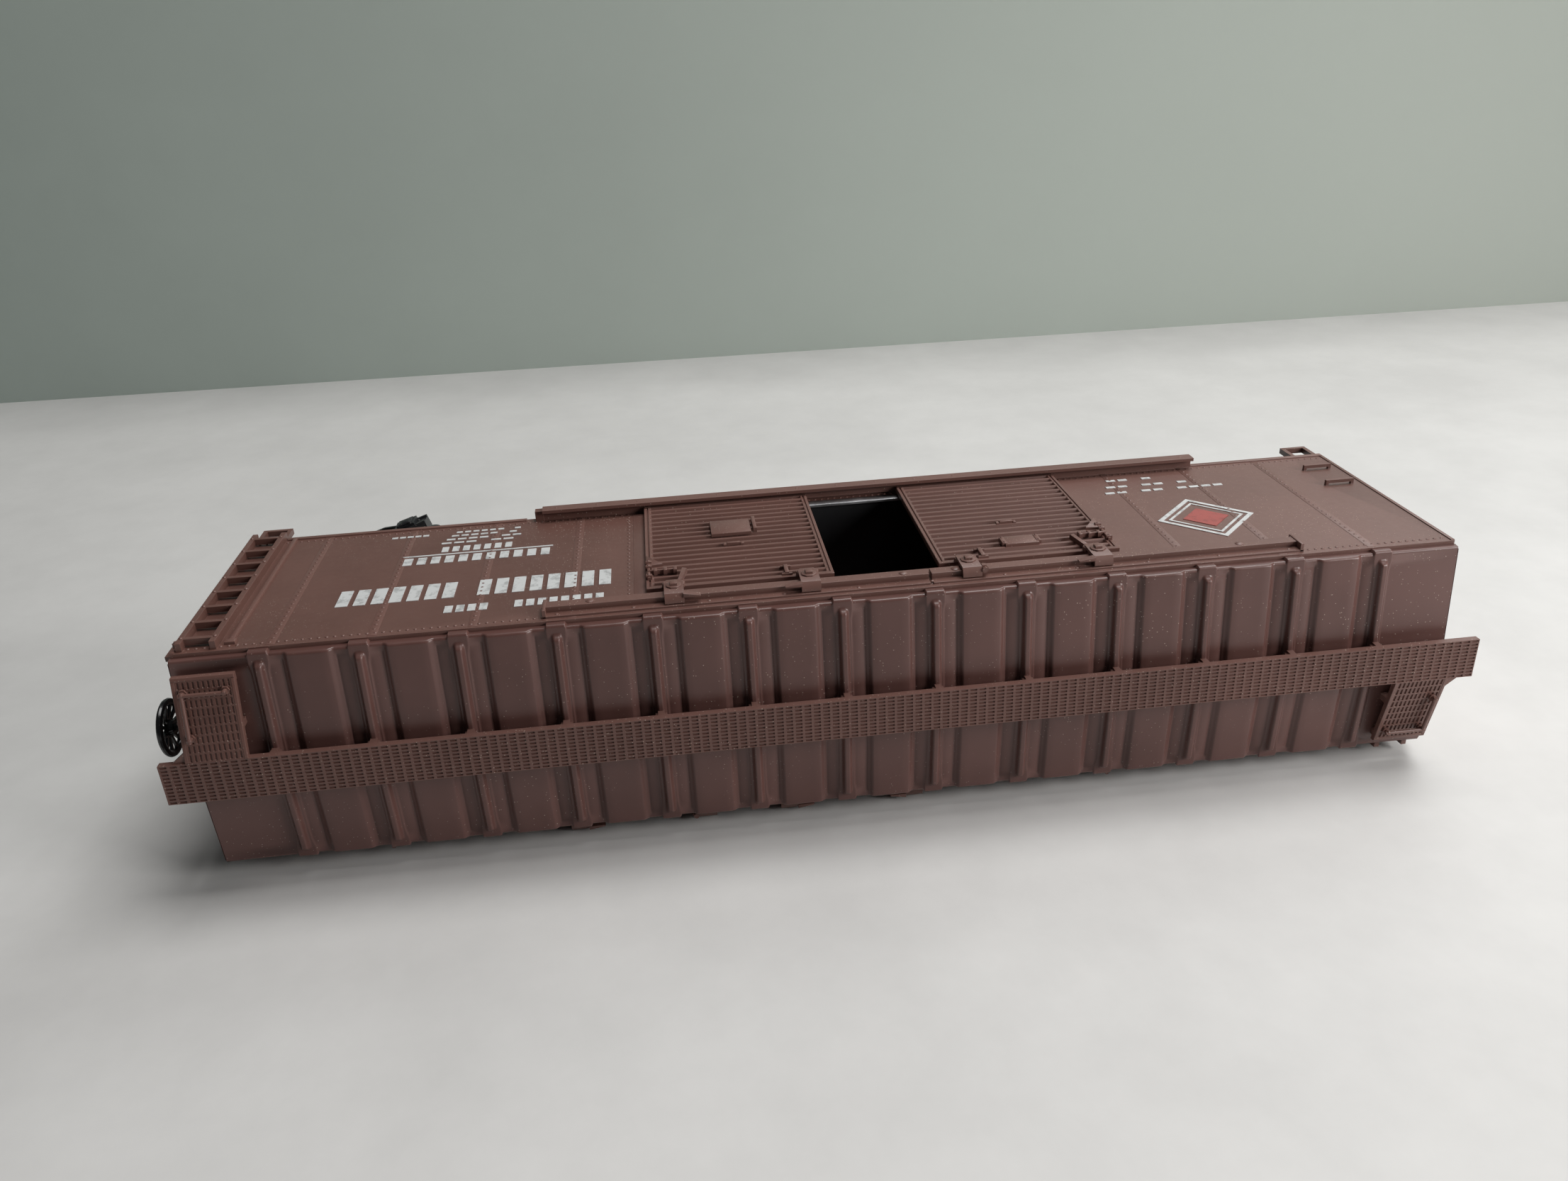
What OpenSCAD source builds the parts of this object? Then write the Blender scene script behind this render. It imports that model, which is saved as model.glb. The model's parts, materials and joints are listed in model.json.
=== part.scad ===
// Double-door steel box car, 1:87 scale: moulded shell with sliding doors, underframe,
// swivelling trucks and knuckle couplers. The car stands upright: X runs along the car with the
// brake-wheel end at +X, Z is up, and the origin is on the rail top under the car's centre.

/* [Body] */
// Length over the end sheets
body_l = 178; // [176:1:184]
// Width over the side sheets
body_w = 33.5; // [33:0.5:35]
// Height of the side sills' lower edge above the rail
sill_z = 11.5; // [11.4:0.1:12]
// Height of the side sheets from sill to eave
side_h = 38; // [37.5:0.5:40]
// Thickness of the moulded walls
wall_t = 1; // [0.8:0.1:1.1]

/* [Roof] */
// Step from the side sheets' top up to the roof face
eave_step = 1; // [0.8:0.1:1.4]
// Rise of the ridge over the eave
roof_rise = 1.2; // [1:0.1:2]
// Spacing of the roof seam caps
rib_pitch = 12.95; // [12.9:0.05:13.1]
// Seam caps on each side of the middle one
ribs_per_end = 6; // [4:1:6]

/* [Running board] */
// Length of the running board
walk_l = 184.6; // [184:0.2:188]
// Width of the running board
walk_w = 6.1; // [5:0.1:7]
// Height of the running board's tread above the rail
walk_z = 54.7; // [54.5:0.1:56]

/* [Doors] */
// Width of one door leaf
door_w = 26.4; // [26:0.1:26.6]
// Number of lengthwise corrugations on a door leaf
door_ridges = 17; // [12:1:20]
// Opening of the -X door on the -Y side
open_front_left = 14.8; // [0:0.1:25]
// Opening of the +X door on the +Y side
open_rear_left = 16.7; // [16.7:0.1:25]
// Shift towards +X of the -X door on the +Y side
shift_rear_right = 12.2; // [0:0.1:12.2]

/* [Trucks] */
// Distance of the truck centres from the car's centre
truck_x = 71; // [70:0.5:71]
// Swivel of the +X truck as the car lies
truck_turn = 18; // [0:1:18]
// Distance between a truck's axles
wheelbase = 19.3; // [19:0.1:20]
// Radius of the wheel over its flange
flange_r = 5.45; // [5.2:0.05:5.45]
// Radius of the wheel tread
tread_r = 4.8; // [4.5:0.1:4.9]

/* [Hidden] */
$fn = 48;

brown = "#5b433d";
black = "#15161a";
steel = "#8f9296";

half_l = body_l / 2;
half_w = body_w / 2;
side_top = sill_z + side_h;
roof_half = half_w - 0.9;
eave_z = side_top + eave_step;
ridge_z = eave_z + roof_rise;
ceiling_z = side_top - 1;

doorway_half = 25.9;
doorway_z0 = sill_z + 0.6;
doorway_z1 = side_top - 6.1;
door_z0 = sill_z + 1.3;
door_z1 = side_top - 5.3;
door_back = half_w + 0.15;
door_face = half_w + 1;
rail_outer = half_w + 1.1;
rail_z0 = side_top - 4.4;
rail_z1 = side_top - 0.7;
hook_in = half_w + 1.35;
hook_out = half_w + 2.05;
hook_top = rail_z1 - 0.3;
track_out = half_w + 2;

floor_z0 = sill_z + 1.1;
floor_z1 = sill_z + 2.7;
fit_gap = 0.1;
pad_z = 9.3;
axle_z = flange_r;
axle_r = 1;
journal_r = 0.6;
journal_gap = 0.05;
kingpin_r = 1.22;
kingpin_gap = 0.08;
coupler_z = 10.3;
draft_x0 = half_l - 7.8;
draft_x1 = half_l + 0.6;
coupler_pivot_x = half_l - 5.8;
coupler_pin_r = 0.7;
coupler_pin_gap = 0.08;
knuckle_pin = [half_l + 6.2, 1.3];
knuckle_pin_r = 0.35;
knuckle_gap = 0.05;
brake_wheel_at = [half_l + 4.1, -4, side_top - 3.4];
brake_wheel_r = 4.1;
chain_rod_r = 0.35;
end_face = half_l + 0.9;
brake_shaft_r = 0.5;
brake_shaft_gap = 0.06;

// Height of the roof face at a distance y from the centre line
function roof_z(y) = ridge_z - roof_rise * abs(y) / roof_half;

// A part and its copy turned half round about the car's vertical axis
module twice() {
    children();
    rotate([0, 0, 180]) children();
}

// A block from its lowest to its highest corner
module block(low, high) {
    translate(low) cube(high - low);
}

// An outline in Y and Z, extruded along X from x0 to x1
module along_x(x0, x1, outline) {
    translate([x0, 0, 0]) rotate([90, 0, 90]) linear_extrude(x1 - x0) polygon(outline);
}

// A rod of radius r between two points on one axis direction
module rod_x(x0, x1, y, z, r) {
    translate([x0, y, z]) rotate([0, 90, 0]) cylinder(h = x1 - x0, r = r);
}

module rod_y(y0, y1, x, z, r) {
    translate([x, y0, z]) rotate([-90, 0, 0]) cylinder(h = y1 - y0, r = r);
}

// ---------------------------------------------------------------- body shell

// A raised band across both roof slopes, standing rise above the sheets
module roof_band(x, w, y_in, y_out, rise) {
    sink = 0.3;
    for (s = [-1, 1])
        along_x(x - w / 2, x + w / 2,
            [[s * y_in, roof_z(y_in) - sink], [s * y_out, roof_z(y_out) - sink],
             [s * y_out, roof_z(y_out) + rise], [s * y_in, roof_z(y_in) + rise]]);
}

module seam_cap(x) {
    tab_w = 2.7;
    roof_band(x, 1.5, 0, roof_half - 0.2, 0.8);
    for (s = [-1, 1])
        block([x - tab_w / 2, min(s * (roof_half - 1.6), s * (roof_half + 0.7)), eave_z - 0.9],
              [x + tab_w / 2, max(s * (roof_half - 1.6), s * (roof_half + 0.7)), eave_z + 0.35]);
}

module roof() {
    along_x(-half_l - 0.1, half_l + 0.1,
        [[-roof_half, side_top - 0.5], [roof_half, side_top - 0.5], [roof_half, eave_z],
         [0, ridge_z], [-roof_half, eave_z]]);
    for (i = [-ribs_per_end : ribs_per_end]) seam_cap(i * rib_pitch);
    for (i = [-ribs_per_end : ribs_per_end - 1])
        roof_band((i + 0.5) * rib_pitch, 6.3, 0.6, roof_half - 0.4, 0.4);
}

// A ladder flat against the -Y side at the +X corner
module side_ladder() {
    x0 = half_l - 5.9;
    x1 = half_l - 0.7;
    stile = 0.8;
    out = half_w + 1.2;
    rungs = 8;
    first_z = sill_z + 1.6;
    last_z = side_top - 2.4;
    for (x = [x0, x1 - stile])
        block([x, -out, sill_z], [x + stile, -half_w + 0.2, side_top - 0.5]);
    for (i = [0 : rungs - 1]) {
        z = first_z + i * (last_z - first_z) / (rungs - 1);
        block([x0 + 0.2, -out, z], [x1 - 0.2, -out + 0.9, z + 0.7]);
    }
}

// The same ladder round the corner on the +X end
module end_ladder() {
    y0 = -half_w + 0.9;
    y1 = y0 + 5.2;
    stile = 0.7;
    out = half_l + 1.2;
    rungs = 7;
    first_z = sill_z + 1.6;
    last_z = side_top - 3.4;
    for (y = [y0, y1 - stile])
        block([half_l - 0.2, y, sill_z + 0.4], [out, y + stile, side_top - 1.2]);
    for (i = [0 : rungs - 1]) {
        z = first_z + i * (last_z - first_z) / (rungs - 1);
        block([out - 0.8, y0 + 0.2, z], [out, y1 - 0.2, z + 0.6]);
    }
}

// A grab iron standing off the -Y side between x0 and x1
module side_grab(x0, x1, z) {
    bar = 0.5;
    out = half_w + 0.9;
    block([x0, -out, z], [x1, -out + bar, z + bar]);
    for (x = [x0, x1 - bar]) block([x, -out, z], [x + bar, -half_w + 0.2, z + bar]);
}

// A U-shaped step below the side sill
module stirrup(x0, x1) {
    drop = 4.5;
    bar = 0.7;
    y0 = -half_w;
    y1 = -half_w + 0.9;
    for (x = [x0, x1 - bar]) block([x, y0, sill_z - drop], [x + bar, y1, sill_z + 0.3]);
    block([x0, y0, sill_z - drop], [x1, y1, sill_z - drop + bar]);
}

// Upper door rail, a deep ledge on a flat strip in two lengths, and the lower channel, on the -Y side
module door_tracks() {
    rail_x0 = -half_l + 22.3;
    rail_x1 = half_l - 48.3;
    split_x = -12.9;
    gap = 0.4;
    ledge_z = side_top - 2;
    for (span = [[rail_x0, split_x - gap / 2], [split_x + gap / 2, rail_x1]]) {
        block([span[0], -half_w - 0.3, rail_z0], [span[1], -half_w + 0.2, rail_z1]);
        block([span[0], -rail_outer, rail_z0 + 0.6], [span[1], -half_w + 0.2, ledge_z]);
    }
    track_x0 = -half_l + 23.5;
    track_x1 = half_l - 46.3;
    lip = 0.55;
    block([track_x0, -track_out, sill_z], [track_x1, -half_w + 0.2, sill_z + 1]);
    block([track_x0, -track_out, sill_z], [track_x1, -track_out + lip, sill_z + 2.1]);
    block([track_x1 - 0.1, -track_out + 0.3, sill_z], [track_x1 + 1.2, -half_w + 0.2, sill_z + 1.4]);
}

// Horizontal corrugations of the +X end
module end_corrugations() {
    count = 9;
    pitch = (side_h - 5) / count;
    reach = half_w - 1.6;
    for (i = [0 : count - 1]) {
        z = sill_z + 3.4 + (i + 0.5) * pitch;
        translate([half_l - 0.1, 0, z]) rotate([90, 0, 0]) linear_extrude(2 * reach, center = true)
            polygon([[0, -1.3], [1, -0.7], [1, 0.7], [0, 1.3]]);
    }
}

module body_shell() {
    cavity_l = half_l - wall_t;
    cavity_w = half_w - wall_t;
    color(brown) difference() {
        union() {
            block([-half_l, -half_w, sill_z], [half_l, half_w, side_top]);
            roof();
            twice() {
                side_ladder();
                end_ladder();
                side_grab(-half_l + 1.8, -half_l + 6.5, sill_z + 6.4);
                side_grab(-half_l + 1.8, -half_l + 6.5, sill_z + 13.5);
                stirrup(-half_l + 0.5, -half_l + 4.9);
                stirrup(half_l - 5.6, half_l - 1);
                door_tracks();
                end_corrugations();
            }
        }
        block([-cavity_l, -cavity_w, sill_z - 1], [cavity_l, cavity_w, ceiling_z]);
        for (s = [-1, 1]) {
            y0 = s > 0 ? cavity_w - 0.1 : -half_w - 0.05;
            block([-doorway_half, y0, doorway_z0],
                  [doorway_half, y0 + wall_t + 0.15, doorway_z1]);
            x0 = s > 0 ? cavity_l - 0.1 : -half_l - 1;
            block([x0, -2.9, sill_z - 1], [x0 + wall_t + 1.1, 2.9, floor_z0 + 0.1]);
        }
    }
}

// ---------------------------------------------------------------- running board

// Height of the sloping roof platforms at a distance y from the centre line
function platform_z(y) = walk_z - 0.225 * (abs(y) - walk_w / 2);

// Platform beside the running board at the -Y side of the +X end, with its corner grab iron
module roof_platform() {
    plate_t = 0.8;
    x0 = half_l - 8.4;
    x1 = half_l - 0.3;
    y0 = -14.5;
    y1 = -walk_w / 2 + 0.1;
    along_x(x0, x1, [[y0, platform_z(y0) - plate_t], [y1, platform_z(y1) - plate_t],
                     [y1, platform_z(y1)], [y0, platform_z(y0)]]);
    for (x = [x0 + 0.2, x1 - 1.2], y = [y0 + 0.4, -7.6])
        block([x, y, roof_z(y + 1)], [x + 1, y + 1, platform_z(y) - plate_t + 0.3]);
    rod_r = 0.3;
    rise = 0.9;
    reach_x = 5.4;
    reach_y = 6;
    corner = [half_l - 1.7, -12.5];
    rod_x(corner[0] - reach_x, corner[0], corner[1], platform_z(corner[1]) + rise, rod_r);
    translate([corner[0], corner[1], platform_z(corner[1]) + rise])
        rotate([-90 + atan(0.225), 0, 0]) cylinder(h = reach_y / cos(atan(0.225)), r = rod_r);
    for (p = [corner, corner - [reach_x, 0], corner + [0, reach_y]])
        translate([p[0], p[1], platform_z(p[1]) - 0.3]) cylinder(h = 1.5, r = 0.42);
}

module running_board() {
    plate_t = 1;
    saddle = 1.6;
    color(brown) {
        block([-walk_l / 2, -walk_w / 2, walk_z - plate_t], [walk_l / 2, walk_w / 2, walk_z]);
        twice() {
            roof_platform();
            block([half_l + 0.2, -2, walk_z - 2.2], [half_l + 2.4, 2, walk_z - plate_t + 0.1]);
        }
        for (i = [-ribs_per_end : ribs_per_end])
            block([i * rib_pitch - saddle / 2, -walk_w / 2 + 0.5, ridge_z + 0.8],
                  [i * rib_pitch + saddle / 2, walk_w / 2 - 0.5, walk_z - plate_t + 0.1]);
    }
}

// ---------------------------------------------------------------- doors

// A claw that hangs the door on the upper rail, centred on x, on the -Y side
module claw(x) {
    w = 2.6;
    block([x - w / 2, -hook_out, door_z1 - 1.2], [x + w / 2, -door_face + 0.2, door_z1]);
    block([x - w / 2, -hook_out, door_z1 - 0.6], [x + w / 2, -hook_in, hook_top]);
    block([x - w / 2, -hook_out, hook_top - 0.75], [x + w / 2, -half_w - 0.45, hook_top]);
    translate([x, -hook_out, door_z1 + 1.6]) rotate([90, 0, 0]) cylinder(h = 0.35, r = 0.7, $fn = 6);
}

// Thin triangular gusset beside a claw, reaching towards dir along the rail
module claw_wing(x, dir) {
    w = 2.6;
    x0 = x + dir * w / 2;
    translate([0, 0, hook_top - 0.9]) linear_extrude(0.9)
        polygon([[x0 - dir * 0.2, -hook_out], [x0 - dir * 0.2, -hook_in], [x0 + dir * 2.4, -hook_in]]);
}

// A door leaf between x0 and x0 + door_w on the -Y side. latch_dir says at which edge the latch is.
module door_leaf(x0, latch_dir, board_up) {
    x1 = x0 + door_w;
    xm = x0 + door_w / 2;
    frame_w = 1.1;
    web = 0.45;
    ridge_h = door_face - door_back - web;
    pitch = (door_z1 - door_z0 - 2 * frame_w) / door_ridges;
    difference() {
        block([x0, -door_face, door_z0], [x1, -door_back, door_z1]);
        block([x0 + frame_w, -door_face - 1, door_z0 + frame_w],
              [x1 - frame_w, -door_back - web, door_z1 - frame_w]);
    }
    for (i = [0 : door_ridges - 1]) {
        z = door_z0 + frame_w + (i + 0.5) * pitch;
        translate([x0 + frame_w - 0.1, -door_back - web, z]) rotate([90, 0, 90])
            linear_extrude(door_w - 2 * frame_w + 0.2)
                polygon([[0.1, -pitch * 0.42], [-ridge_h, -pitch * 0.16],
                         [-ridge_h, pitch * 0.16], [0.1, pitch * 0.42]]);
    }
    // tack board and small route board
    big_z = door_z1 - (board_up ? 5 : 19.2);
    big_half = board_up ? [2.5, 1.45] : [3.1, 2.65];
    small_z = door_z1 - (board_up ? 12.5 : 13.2);
    block([xm - big_half[0], -door_face - 0.45, big_z - big_half[1]],
          [xm + big_half[0], -door_face + 0.2, big_z + big_half[1]]);
    block([xm - 1.3, -door_face - 0.25, small_z - 0.4], [xm + 1.3, -door_face + 0.2, small_z + 0.4]);
    // claws and latch
    near = latch_dir > 0 ? x1 : x0;
    far = latch_dir > 0 ? x0 : x1;
    claw(near - latch_dir * 3.8);
    claw_wing(near - latch_dir * 3.8, -latch_dir);
    claw(far + latch_dir * 3.8);
    claw_wing(far + latch_dir * 3.8, latch_dir);
    bar_x = near - latch_dir * 0.45;
    arm_x = near - latch_dir * 5;
    block([min(bar_x, arm_x), -door_face - 0.6, door_z1 - 5.2],
          [max(bar_x, arm_x), -door_face + 0.2, door_z1 - 4.6]);
    block([bar_x - 0.45, -door_face - 0.8, door_z1 - 8], [bar_x + 0.45, -door_face + 0.2, door_z1 - 3]);
    block([arm_x - 0.4, -door_face - 0.6, door_z1 - 4.8], [arm_x + 0.4, -door_face + 0.2, door_z1 - 0.8]);
    block([far + latch_dir * 6.6 - 0.35, -door_face - 0.6, door_z1 - 3.2],
          [far + latch_dir * 6.6 + 0.35, -door_face + 0.2, door_z1 - 0.6]);
}

module door_front_right() {
    color(brown) door_leaf(0.1, 1, false);
}

module door_front_left() {
    color(brown) door_leaf(-0.1 - door_w - open_front_left, -1, true);
}

module door_rear_left() {
    color(brown) rotate([0, 0, 180]) door_leaf(-0.1 - door_w - open_rear_left, -1, true);
}

module door_rear_right() {
    color(brown) rotate([0, 0, 180]) door_leaf(0.1 - shift_rear_right, 1, false);
}

// ---------------------------------------------------------------- underframe and brake gear

// Draft-gear box at the +X end, open below
module draft_box() {
    wall = 0.4;
    half_box = 2.4;
    difference() {
        block([draft_x0, -half_box, pad_z + 0.1], [draft_x1, half_box, floor_z0 + 0.1]);
        block([draft_x0 + wall, -half_box + wall, pad_z], [draft_x1 + 1, half_box - wall, 11.6]);
        translate([coupler_pivot_x, 0, pad_z]) cylinder(h = 4, r = coupler_pin_r);
    }
}

module body_bolster() {
    difference() {
        union() {
            block([truck_x - 2.6, -half_w + 1.8, 11.3], [truck_x + 2.6, half_w - 1.8, floor_z0 + 0.1]);
            translate([truck_x, 0, pad_z]) cylinder(h = floor_z0 - pad_z, r = 4);
        }
        translate([truck_x, 0, pad_z - 1]) cylinder(h = 5.2, r = kingpin_r);
    }
}

module underframe() {
    inner_l = half_l - wall_t - fit_gap;
    inner_w = half_w - wall_t - fit_gap;
    sill_w = 2.2;
    color(black) difference() {
        union() {
            block([-inner_l, -inner_w, floor_z0], [inner_l, inner_w, floor_z1]);
            block([-doorway_half + 0.3, -half_w + 0.5, floor_z0],
                  [doorway_half - 0.3, half_w - 0.5, floor_z1]);
            block([-truck_x, -sill_w, 10.5], [truck_x, sill_w, floor_z0 + 0.1]);
            for (x = [-46, -30, -14, 14, 30, 46])
                block([x - 0.7, -half_w + 2.4, 11.2], [x + 0.7, half_w - 2.4, floor_z0 + 0.1]);
            for (y = [-9, 9])
                block([-54, y - 0.4, 11.8], [54, y + 0.4, floor_z0 + 0.1]);
            twice() {
                body_bolster();
                draft_box();
            }
            // hangers of the brake gear
            block([8.5, 5.2, 9.2], [10, 8.6, floor_z0 + 0.1]);
            block([-21.5, -9, 9.2], [-20, -5.3, floor_z0 + 0.1]);
            block([-26.5, 5.6, 10.4], [-24.5, 8, floor_z0 + 0.1]);
            block([21.4, -2, 8.9], [22.6, 2, 10.6]);
        }
        twice() {
            translate([truck_x, 0, pad_z - 1]) cylinder(h = 5.2, r = kingpin_r);
            translate([coupler_pivot_x, 0, pad_z]) cylinder(h = 4, r = coupler_pin_r);
        }
    }
}

module steel_weight(end) {
    color(steel) rotate([0, 0, end > 0 ? 0 : 180])
        block([37, -13, floor_z1], [82, 13, floor_z1 + 2.6]);
}

module steel_weight_1() { steel_weight(1); }
module steel_weight_2() { steel_weight(-1); }

module brake_cylinder() {
    color(black) {
        rod_x(1.5, 8.5, 6.9, 8.4, 2.1);
        rod_x(0.9, 1.6, 6.9, 8.4, 2.4);
        rod_x(-3.2, 1, 6.9, 8.4, 0.45);
    }
}

module air_reservoir() {
    color(black) {
        rod_x(-20, -8, -7, 8.4, 2.3);
        rod_x(-14.4, -13.6, -7, 8.4, 2.6);
    }
}

module control_valve() {
    color(black) {
        block([-27.2, 5.4, 8], [-23.8, 8.2, 10.4]);
        translate([-25.5, 6.8, 6.9]) cylinder(h = 1.2, r = 0.9);
    }
}

module brake_lever() {
    color(black) block([-4.1, 1, 8], [-3.2, 8.4, 8.8]);
}

// Rods run just below the centre sill to each truck
module brake_rod_long() {
    color(black) rod_x(-52, -4.1, 1.6, 8.4, 0.35);
}

module brake_rod_short() {
    color(black) rod_x(-3.2, 21.4, 1.6, 9.4, 0.35);
}

module train_line() {
    color(black) rod_x(-53, 53, -4.6, 10.65, 0.5);
}

module brake_housing() {
    y = brake_wheel_at[1];
    z = brake_wheel_at[2];
    color(brown) difference() {
        block([end_face, y - 1.7, z - 2.4], [end_face + 1.3, y + 1.7, z + 2]);
        rod_x(end_face + 0.05, end_face + 1.4, y, z, brake_shaft_r + brake_shaft_gap);
    }
}

module brake_step() {
    y = brake_wheel_at[1];
    z = sill_z + 16.5;
    color(brown) difference() {
        union() {
            block([end_face, y - 3.4, z], [end_face + 2.8, y + 3.4, z + 0.6]);
            for (s = [-1, 1])
                block([end_face, y + s * 2.6 - 0.3, z - 2.4], [end_face + 0.8, y + s * 2.6 + 0.3, z + 0.1]);
        }
        translate([end_face + 0.45, y, z - 1]) cylinder(h = 3, r = chain_rod_r + 0.05);
    }
}

module chain_rod() {
    y = brake_wheel_at[1];
    z0 = sill_z + 1;
    color(brown) translate([end_face + 0.45, y, z0])
        cylinder(h = brake_wheel_at[2] - 2.4 - z0, r = chain_rod_r);
}

module brake_wheel() {
    rim_r = 0.55;
    spokes = 12;
    color(black) translate(brake_wheel_at) rotate([0, 90, 0]) {
        rotate_extrude() translate([brake_wheel_r - rim_r, 0]) circle(r = rim_r);
        for (i = [0 : spokes - 1])
            rotate([0, 0, i * 360 / spokes]) translate([0, -0.28, -0.3])
                cube([brake_wheel_r - rim_r, 0.56, 0.5]);
        translate([0, 0, -0.7]) cylinder(h = 1.3, r = 1);
        translate([0, 0, -3.1]) cylinder(h = 2.5, r = brake_shaft_r);
    }
}

// ---------------------------------------------------------------- trucks

frame_in = 10.9;
frame_out = 12.6;
frame_half = 13;

// Places children at a truck, whose own axes are the unswivelled ones
module at_truck(end) {
    translate([end * truck_x, 0, 0]) rotate([0, 0, end > 0 ? truck_turn : 0]) children();
}

// Cast sideframe in its own plane, X along the truck
module sideframe_outline() {
    difference() {
        polygon([[-frame_half, 4], [-frame_half, 6.9], [-8.6, 8.3], [-5, 8.7], [5, 8.7], [8.6, 8.3],
                 [frame_half, 6.9], [frame_half, 4], [8, 4.2], [5, 2.2], [-5, 2.2], [-8, 4.2]]);
        for (s = [-1, 1])
            polygon([[s * 3.9, 3.9], [s * 6.8, 5.5], [s * 6.6, 6.9], [s * 3.9, 7.4]]);
        translate([-2.7, 3]) square([5.4, 2.9]);
    }
}

module sideframe(s) {
    translate([0, s > 0 ? frame_out : -frame_in, 0]) rotate([90, 0, 0])
        linear_extrude(frame_out - frame_in) sideframe_outline();
    for (x = [-wheelbase / 2, wheelbase / 2]) {
        y0 = s > 0 ? frame_in : -frame_out - 0.7;
        block([x - 1.7, y0, 4], [x + 1.7, y0 + frame_out - frame_in + 0.7, 7.2]);
    }
    for (x = [-1.6, 0, 1.6])
        translate([x, s * (frame_out - 0.7), 3]) cylinder(h = 2.9, r = 0.75);
}

module truck_frame(end) {
    color(black) at_truck(end) difference() {
        union() {
            for (s = [-1, 1]) sideframe(s);
            block([-2.9, -frame_in - 0.2, 6.4], [2.9, frame_in + 0.2, 8.6]);
            translate([0, 0, 6.4]) cylinder(h = pad_z - 6.45, r = 3.4);
        }
        translate([0, 0, 5]) cylinder(h = 6, r = kingpin_r + kingpin_gap);
        for (x = [-wheelbase / 2, wheelbase / 2], s = [-1, 1])
            rod_y(s > 0 ? frame_in - 0.5 : -frame_out + 0.3, s > 0 ? frame_out - 0.3 : -frame_in + 0.5,
                  x, axle_z, journal_r + journal_gap);
    }
}

module truck_frame_1() { truck_frame(1); }
module truck_frame_2() { truck_frame(-1); }

module truck_screw(end) {
    color(steel) translate([end * truck_x, 0, 0]) difference() {
        union() {
            translate([0, 0, 5]) cylinder(h = 1.35, r = 2.3);
            translate([0, 0, 6.3]) cylinder(h = 6.5, r = kingpin_r);
        }
        block([-3, -0.3, 4.9], [3, 0.3, 5.6]);
    }
}

module truck_screw_1() { truck_screw(1); }
module truck_screw_2() { truck_screw(-1); }

// Axle number 1 is the outer one of a truck, seen from the car's centre
module axle(end, x) {
    body_half = 10.2;
    tip_half = frame_out - 0.4;
    color(steel) at_truck(end) {
        rod_y(-body_half, body_half, x, axle_z, axle_r);
        rod_y(-tip_half, tip_half, x, axle_z, journal_r);
    }
}

// A flanged wheel of the truck's own axle at x, on side s
module wheel(end, x, s) {
    back = 7.2;
    flange_t = 0.75;
    tread_w = 2.8;
    hub_r = 2;
    dish = 0.7;
    color(black) at_truck(end) translate([x, s * back, axle_z]) rotate([-90 * s, 0, 0])
        rotate_extrude($fn = 64) polygon([[axle_r, 0], [flange_r - 0.35, 0], [flange_r, 0.2],
            [flange_r, 0.45], [tread_r + 0.05, flange_t], [tread_r - 0.08, tread_w],
            [tread_r - 0.8, tread_w], [tread_r - 1, tread_w - dish], [hub_r, tread_w - dish],
            [hub_r - 0.2, tread_w + 0.1], [axle_r, tread_w + 0.1]]);
}

module axle_1() { axle(1, wheelbase / 2); }
module wheel_1() { wheel(1, wheelbase / 2, -1); }
module wheel_2() { wheel(1, wheelbase / 2, 1); }
module axle_2() { axle(1, -wheelbase / 2); }
module wheel_3() { wheel(1, -wheelbase / 2, -1); }
module wheel_4() { wheel(1, -wheelbase / 2, 1); }
module axle_3() { axle(-1, wheelbase / 2); }
module wheel_5() { wheel(-1, wheelbase / 2, -1); }
module wheel_6() { wheel(-1, wheelbase / 2, 1); }
module axle_4() { axle(-1, -wheelbase / 2); }
module wheel_7() { wheel(-1, -wheelbase / 2, -1); }
module wheel_8() { wheel(-1, -wheelbase / 2, 1); }

// ---------------------------------------------------------------- couplers

// Places children at the coupler end: 1 is the +X end, -1 the -X end
module at_end(end) {
    rotate([0, 0, end > 0 ? 0 : 180]) children();
}

module coupler(end) {
    shank_half = 0.85;
    thick = 1.5;
    head_x = half_l + 3;
    color(black) at_end(end) difference() {
        union() {
            translate([0, 0, coupler_z - thick / 2]) linear_extrude(thick) {
                translate([coupler_pivot_x, 0]) circle(r = 1.35);
                polygon([[coupler_pivot_x, -shank_half], [head_x, -shank_half],
                         [head_x, shank_half], [coupler_pivot_x, shank_half]]);
            }
            translate([0, 0, coupler_z - 1.6]) linear_extrude(3.2)
                polygon([[head_x - 0.6, -1.3], [head_x + 0.8, -3], [head_x + 4.6, -3.6],
                         [head_x + 4.8, -2.8], [head_x + 2, -1.6], [head_x + 1.7, 0.3],
                         [head_x + 2, 2.2], [head_x + 0.6, 2.2], [head_x - 0.6, 1.3]]);
            for (z = [coupler_z - 1.6, coupler_z + 1]) {
                translate([knuckle_pin[0], knuckle_pin[1], z]) cylinder(h = 0.6, r = 0.95);
                block([head_x + 1, knuckle_pin[1] - 0.7, z], [knuckle_pin[0], knuckle_pin[1] + 0.7, z + 0.6]);
            }
            translate([knuckle_pin[0], knuckle_pin[1], coupler_z - 1.6])
                cylinder(h = 3.2, r = knuckle_pin_r);
        }
        translate([coupler_pivot_x, 0, coupler_z - 2])
            cylinder(h = 4, r = coupler_pin_r + coupler_pin_gap);
    }
}

module coupler_1() { coupler(1); }
module coupler_2() { coupler(-1); }

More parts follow.
